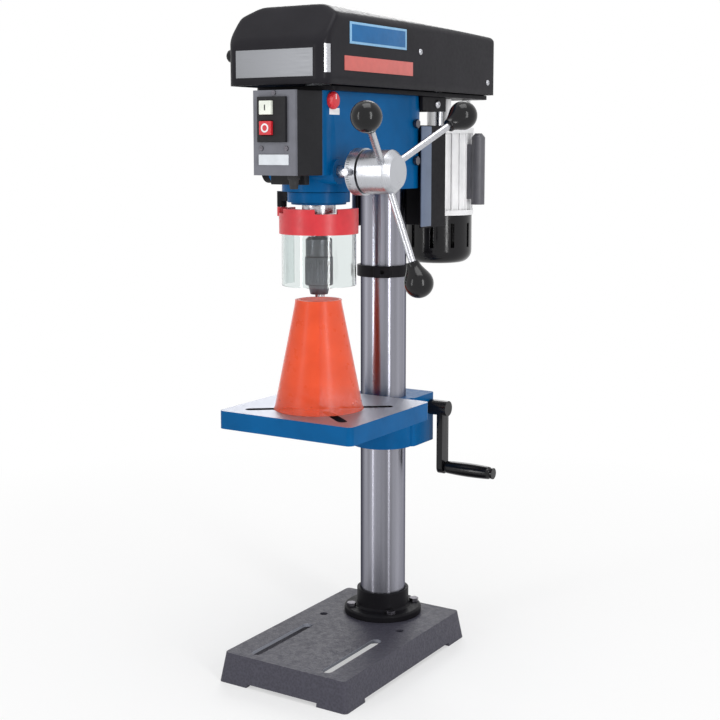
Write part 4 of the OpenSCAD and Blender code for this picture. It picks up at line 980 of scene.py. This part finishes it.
def lever_knobs(name):
    """One pear knob at the end of each lever, on axes spread evenly round the feed and leaning outwards."""
    lean = math.cos(LEVER_RAKE)
    knobs = []
    for turn in LEVER_TURNS:
        axis = np.array([math.sin(LEVER_RAKE), lean * math.cos(turn), lean * math.sin(turn)])
        knobs.append(pear_knob("knob", LEVER_CENTRE + LEVER_LENGTH * axis, axis))
    return joined(name, knobs)


def ring_marks(name, axis, radius, start):
    """Raised marks round a ring whose axis runs along X: every mark is a thin block, and each fifth and tenth
    one is longer."""
    index = np.arange(MARK_COUNT)
    reach = np.where(index % 10 == 0, TENTH_REACH, np.where(index % 5 == 0, FIFTH_REACH, MARK_REACH))
    half = sizes().scale_mark / 2 / radius
    turn = np.radians(index * 360.0 / MARK_COUNT)[:, None] + np.array([-half, half])
    rise = np.array([-MARK_BED, MARK_RISE]) + radius
    x = np.stack([np.full(MARK_COUNT, start), start + reach], 1)
    x, turn, rise = np.broadcast_arrays(x[:, :, None, None], turn[:, None, :, None], rise[None, None, None, :])
    points = np.stack([x, axis[1] + rise * np.cos(turn), axis[2] + rise * np.sin(turn)], -1).reshape(-1, 3)
    faces = (BLOCK_FACES[None] + 8 * index[:, None, None]).reshape(-1, 4).tolist()
    return new_object(name, points, faces)


class PRESS_OT_feed(bpy.types.Operator):
    """Feed hub, marked depth ring, levers and knobs"""

    bl_idname = "press.feed"
    bl_label = "Feed"

    def execute(self, context):
        soften("turned_alloy", "feed_hub", share=1.6)
        soften("turned_alloy", "depth_ring")
        soften("bright_steel", "feed_levers", "depth_screw", share=0.6)
        stand_for(lever_knobs("lever_knobs_turned"), "gloss_plastic", "lever_knobs")
        paint("bright_steel", "pinion_shaft")
        _, middle, size = measure("feed_hub")
        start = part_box("depth_ring")[0].x + MARK_START
        marks = ring_marks("depth_marks", middle, size.y / 2 + RING_STEP, start)
        dress(marks, "black_print", "depth_stop", "alloy")
        return {"FINISHED"}


# Chuck sleeve: wall, chamfered ends, plain bands and the run from them into the flutes, and the flutes
SLEEVE_WALL, SLEEVE_CHAMFER = 3.6 * MM, 1.2 * MM
SLEEVE_BAND, FLUTE_RUN = 5 * MM, 1 * MM
FLUTE_DEPTH, FLUTE_COUNT = 0.9 * MM, 24


def fluted_sleeve(name):
    """Chuck sleeve: a closed ring profile with chamfered ends, turned about the spindle. Between two plain
    bands its radius dips by the square of a raised cosine, once for each flute."""
    low, middle, size = measure("chuck_sleeve")
    outer, tall = size.x / 2, size.z
    inner, end, start = outer - SLEEVE_WALL, outer - SLEEVE_CHAMFER, SLEEVE_BAND + FLUTE_RUN
    # Radius, height and share of the flutes' depth
    profile = np.array([
        (end, 0, 0), (outer, SLEEVE_CHAMFER, 0), (outer, SLEEVE_BAND, 0), (outer, start, 1),
        (outer, tall - start, 1), (outer, tall - SLEEVE_BAND, 0), (outer, tall - SLEEVE_CHAMFER, 0),
        (end, tall, 0), (inner, tall, 0), (inner, 0, 0)])
    radius, z, cut = profile.T[:, :, None]
    turn = np.linspace(0, 2 * np.pi, FLUTE_COUNT * 12, endpoint=False)
    reach = radius - cut * FLUTE_DEPTH * (0.5 + 0.5 * np.cos(FLUTE_COUNT * turn)) ** 2
    return surface(name, about(middle, reach, turn, low.z + z), close_rows=True)


class PRESS_OT_spindle(bpy.types.Operator):
    """Quill, spindle and chuck with its fluted sleeve"""

    bl_idname = "press.spindle"
    bl_label = "Spindle and chuck"

    def execute(self, context):
        soften("bright_steel", "quill", "spindle", segments=1, share=0.2)
        soften("blackened_steel", "chuck_body")
        stand_for(fluted_sleeve("chuck_sleeve_fluted"), "blackened_steel", "chuck_sleeve")
        soften("bright_steel", "chuck_jaw_a", "chuck_jaw_b", "chuck_jaw_c", share=0.4)
        paint("bright_steel", "quill_bearings")
        return {"FINISHED"}


class PRESS_OT_guard(bpy.types.Operator):
    """Swinging chuck guard: red frame and clear shield"""

    bl_idname = "press.guard"
    bl_label = "Chuck guard"

    def execute(self, context):
        bracket, = soften("black_enamel", "guard_bracket")
        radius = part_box("guard_bracket")[1].x + 0.5 * MM
        middle = measure("guard_bracket")[1].y

        def collar(centre, normal):
            """Faces of the bracket's round collar."""
            return np.hypot(centre[:, 0], centre[:, 1] - middle) < radius

        second_finish(bracket, "blue_enamel", collar)
        soften("red_plastic", "guard_frame")
        soften("clear_plastic", "guard_shield", share=0.5)
        paint("bright_steel", "guard_hinge_pin")
        return {"FINISHED"}


# Crank grip: share of its radius at the ends, bore, and depth and run of the rounding at each end
GRIP_END_SHARE = 0.84
GRIP_BORE = 5.4 * MM
GRIP_ROUND, GRIP_ROUND_RUN = 2 * MM, 1.1 * MM


def bellied_grip(name):
    """Crank grip along X: a closed ring profile whose outside swells by a sine between rounded ends."""
    low, middle, size = measure("crank_grip")
    radius, long = size.z / 2, size.x
    t = np.linspace(0.0, 1.0, 30)
    end = np.minimum(t, 1 - t) * long
    swell = GRIP_END_SHARE + (1 - GRIP_END_SHARE) * np.sin(np.pi * t) ** 0.7
    belly = radius * swell - GRIP_ROUND * np.exp(-end / GRIP_ROUND_RUN)
    profile = np.concatenate([np.stack([belly, t * long], 1), [(GRIP_BORE, long), (GRIP_BORE, 0.0)]])
    return turned(name, profile, (low.x, middle.y, middle.z), (1, 0, 0), 64, closed=True)


# Table: how deep its ground top counts, the plate's thickness, and the rim that has no slots
TOP_SKIN, TABLE_PLATE, TABLE_RIM = 1 * MM, 13 * MM, 12 * MM


class PRESS_OT_table(bpy.types.Operator):
    """Tilting table, its bracket, clamp and crank"""

    bl_idname = "press.table"
    bl_label = "Table"

    def execute(self, context):
        table, = soften("blue_enamel", "table", share=1.5)
        low, high = (np.array(corner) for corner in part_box("table"))

        def ground_top(centre, normal):
            """Level faces of the top."""
            return (normal[:, 2] > 0.9) & (centre[:, 2] > high[2] - TOP_SKIN)

        def shaded_slot_walls(centre, normal):
            """Upright faces of the plate inside its rim, in black enamel as painted shade in the slots."""
            inside = (centre[:, :2] > low[:2] + TABLE_RIM) & (centre[:, :2] < high[:2] - TABLE_RIM)
            return inside.all(axis=1) & (np.abs(normal[:, 2]) < 0.5) & (centre[:, 2] > high[2] - TABLE_PLATE)

        second_finish(table, "ground_iron", ground_top)
        # Painted shade: black enamel on the slot walls darkens the slots where shade falls
        second_finish(table, "black_enamel", shaded_slot_walls)
        soften_castings("blue_enamel", "table_bracket")
        soften("bright_steel", "tilt_bolt", share=0.5)
        soften("gloss_plastic", "clamp_lever")
        stand_for(bellied_grip("crank_grip_turned"), "gloss_plastic", "crank_grip")
        soften("bell_enamel", "crank_arm")
        paint("bright_steel", "crank_shaft")
        return {"FINISHED"}


# Chip guard: radius of its rim, how far its foot stays inside the frame's, the beads at both ends and the gap
# between its laps; seam, lap and lead-in are in degrees
HOOD_RIM, HOOD_FOOT_INSET = 29 * MM, 2 * MM
HOOD_BEAD, HOOD_BEAD_RUN = 0.9 * MM, 2.4 * MM
HOOD_GAP = 0.4 * MM
HOOD_SEAM = -56.0
HOOD_LAP = 90.0
HOOD_LEAD = 24.0


def rolled_cone(name):
    """Chip guard rolled from one sheet: the outline of its wall, straight from foot to rim and thicker at both
    ends, is swept once round its axis and a quarter turn more. Over that last quarter turn the sheet lies
    outside its own start, after a lead-in that lifts it by a little more than its wall."""
    low, middle, size = measure("chip_guard")
    foot, tall, wall = size.x / 2 - HOOD_FOOT_INSET, size.z, sizes().hood_wall
    t = np.linspace(0.0, 1.0, 40)
    end = np.minimum(t, 1.0 - t) * tall
    bead = HOOD_BEAD * np.exp(-(end / HOOD_BEAD_RUN) ** 2)
    outside = np.stack([foot + (HOOD_RIM - foot) * t + bead, t * tall], 1)
    profile = np.concatenate([outside, (outside - np.stack([wall + 2 * bead, 0 * t], 1))[::-1]])
    angle = np.linspace(0.0, 360.0 + HOOD_LAP, 300)
    share = np.clip((angle - 360.0 + HOOD_LEAD) / HOOD_LEAD, 0.0, 1.0)
    lift = (wall + HOOD_GAP) * share ** 2 * (3 - 2 * share)
    turn = np.radians(angle + HOOD_SEAM - HOOD_LAP)
    return surface(name, about(middle, profile[:, 0] + lift[:, None], turn[:, None], profile[:, 1] + low.z))


class PRESS_OT_hood(bpy.types.Operator):
    """Tinted chip guard that stands on the table round the drill"""

    bl_idname = "press.hood"
    bl_label = "Chip guard"

    def execute(self, context):
        stand_for(rolled_cone("chip_guard_sheet"), "tinted_plastic", "chip_guard")
        return {"FINISHED"}


# Operators in the order in which they run
STEPS = (
    "stage", "base", "column", "head", "cover", "motor", "switch", "feed", "spindle", "guard", "table", "hood")


class PRESS_PT_panel(bpy.types.Panel):
    """Sidebar panel with the drill press's steps, sizes and colours"""

    bl_idname = "PRESS_PT_panel"
    bl_label = "Drill press"
    bl_space_type = "VIEW_3D"
    bl_region_type = "UI"
    bl_category = "Drill press"

    def draw(self, context):
        for step in STEPS:
            self.layout.operator("press." + step)
        for group in (context.scene.press_sizes, context.scene.press_colours):
            box = self.layout.box()
            for name in group.__annotations__:
                box.prop(group, name)


CLASSES = (
    PressColours, PressSizes, PRESS_OT_stage, PRESS_OT_base, PRESS_OT_column, PRESS_OT_head, PRESS_OT_cover,
    PRESS_OT_motor, PRESS_OT_switch, PRESS_OT_feed, PRESS_OT_spindle, PRESS_OT_guard, PRESS_OT_table,
    PRESS_OT_hood, PRESS_PT_panel)


def register():
    """Adds the classes, and the colours and sizes of every scene."""
    for item in CLASSES:
        bpy.utils.register_class(item)
    bpy.types.Scene.press_colours = bpy.props.PointerProperty(type=PressColours)
    bpy.types.Scene.press_sizes = bpy.props.PointerProperty(type=PressSizes)


def unregister():
    """Takes away what register added."""
    del bpy.types.Scene.press_sizes
    del bpy.types.Scene.press_colours
    for item in reversed(CLASSES):
        bpy.utils.unregister_class(item)


def main():
    """Runs every step."""
    register()
    for step in STEPS:
        getattr(bpy.ops.press, step)()


if __name__ == "__main__":
    main()
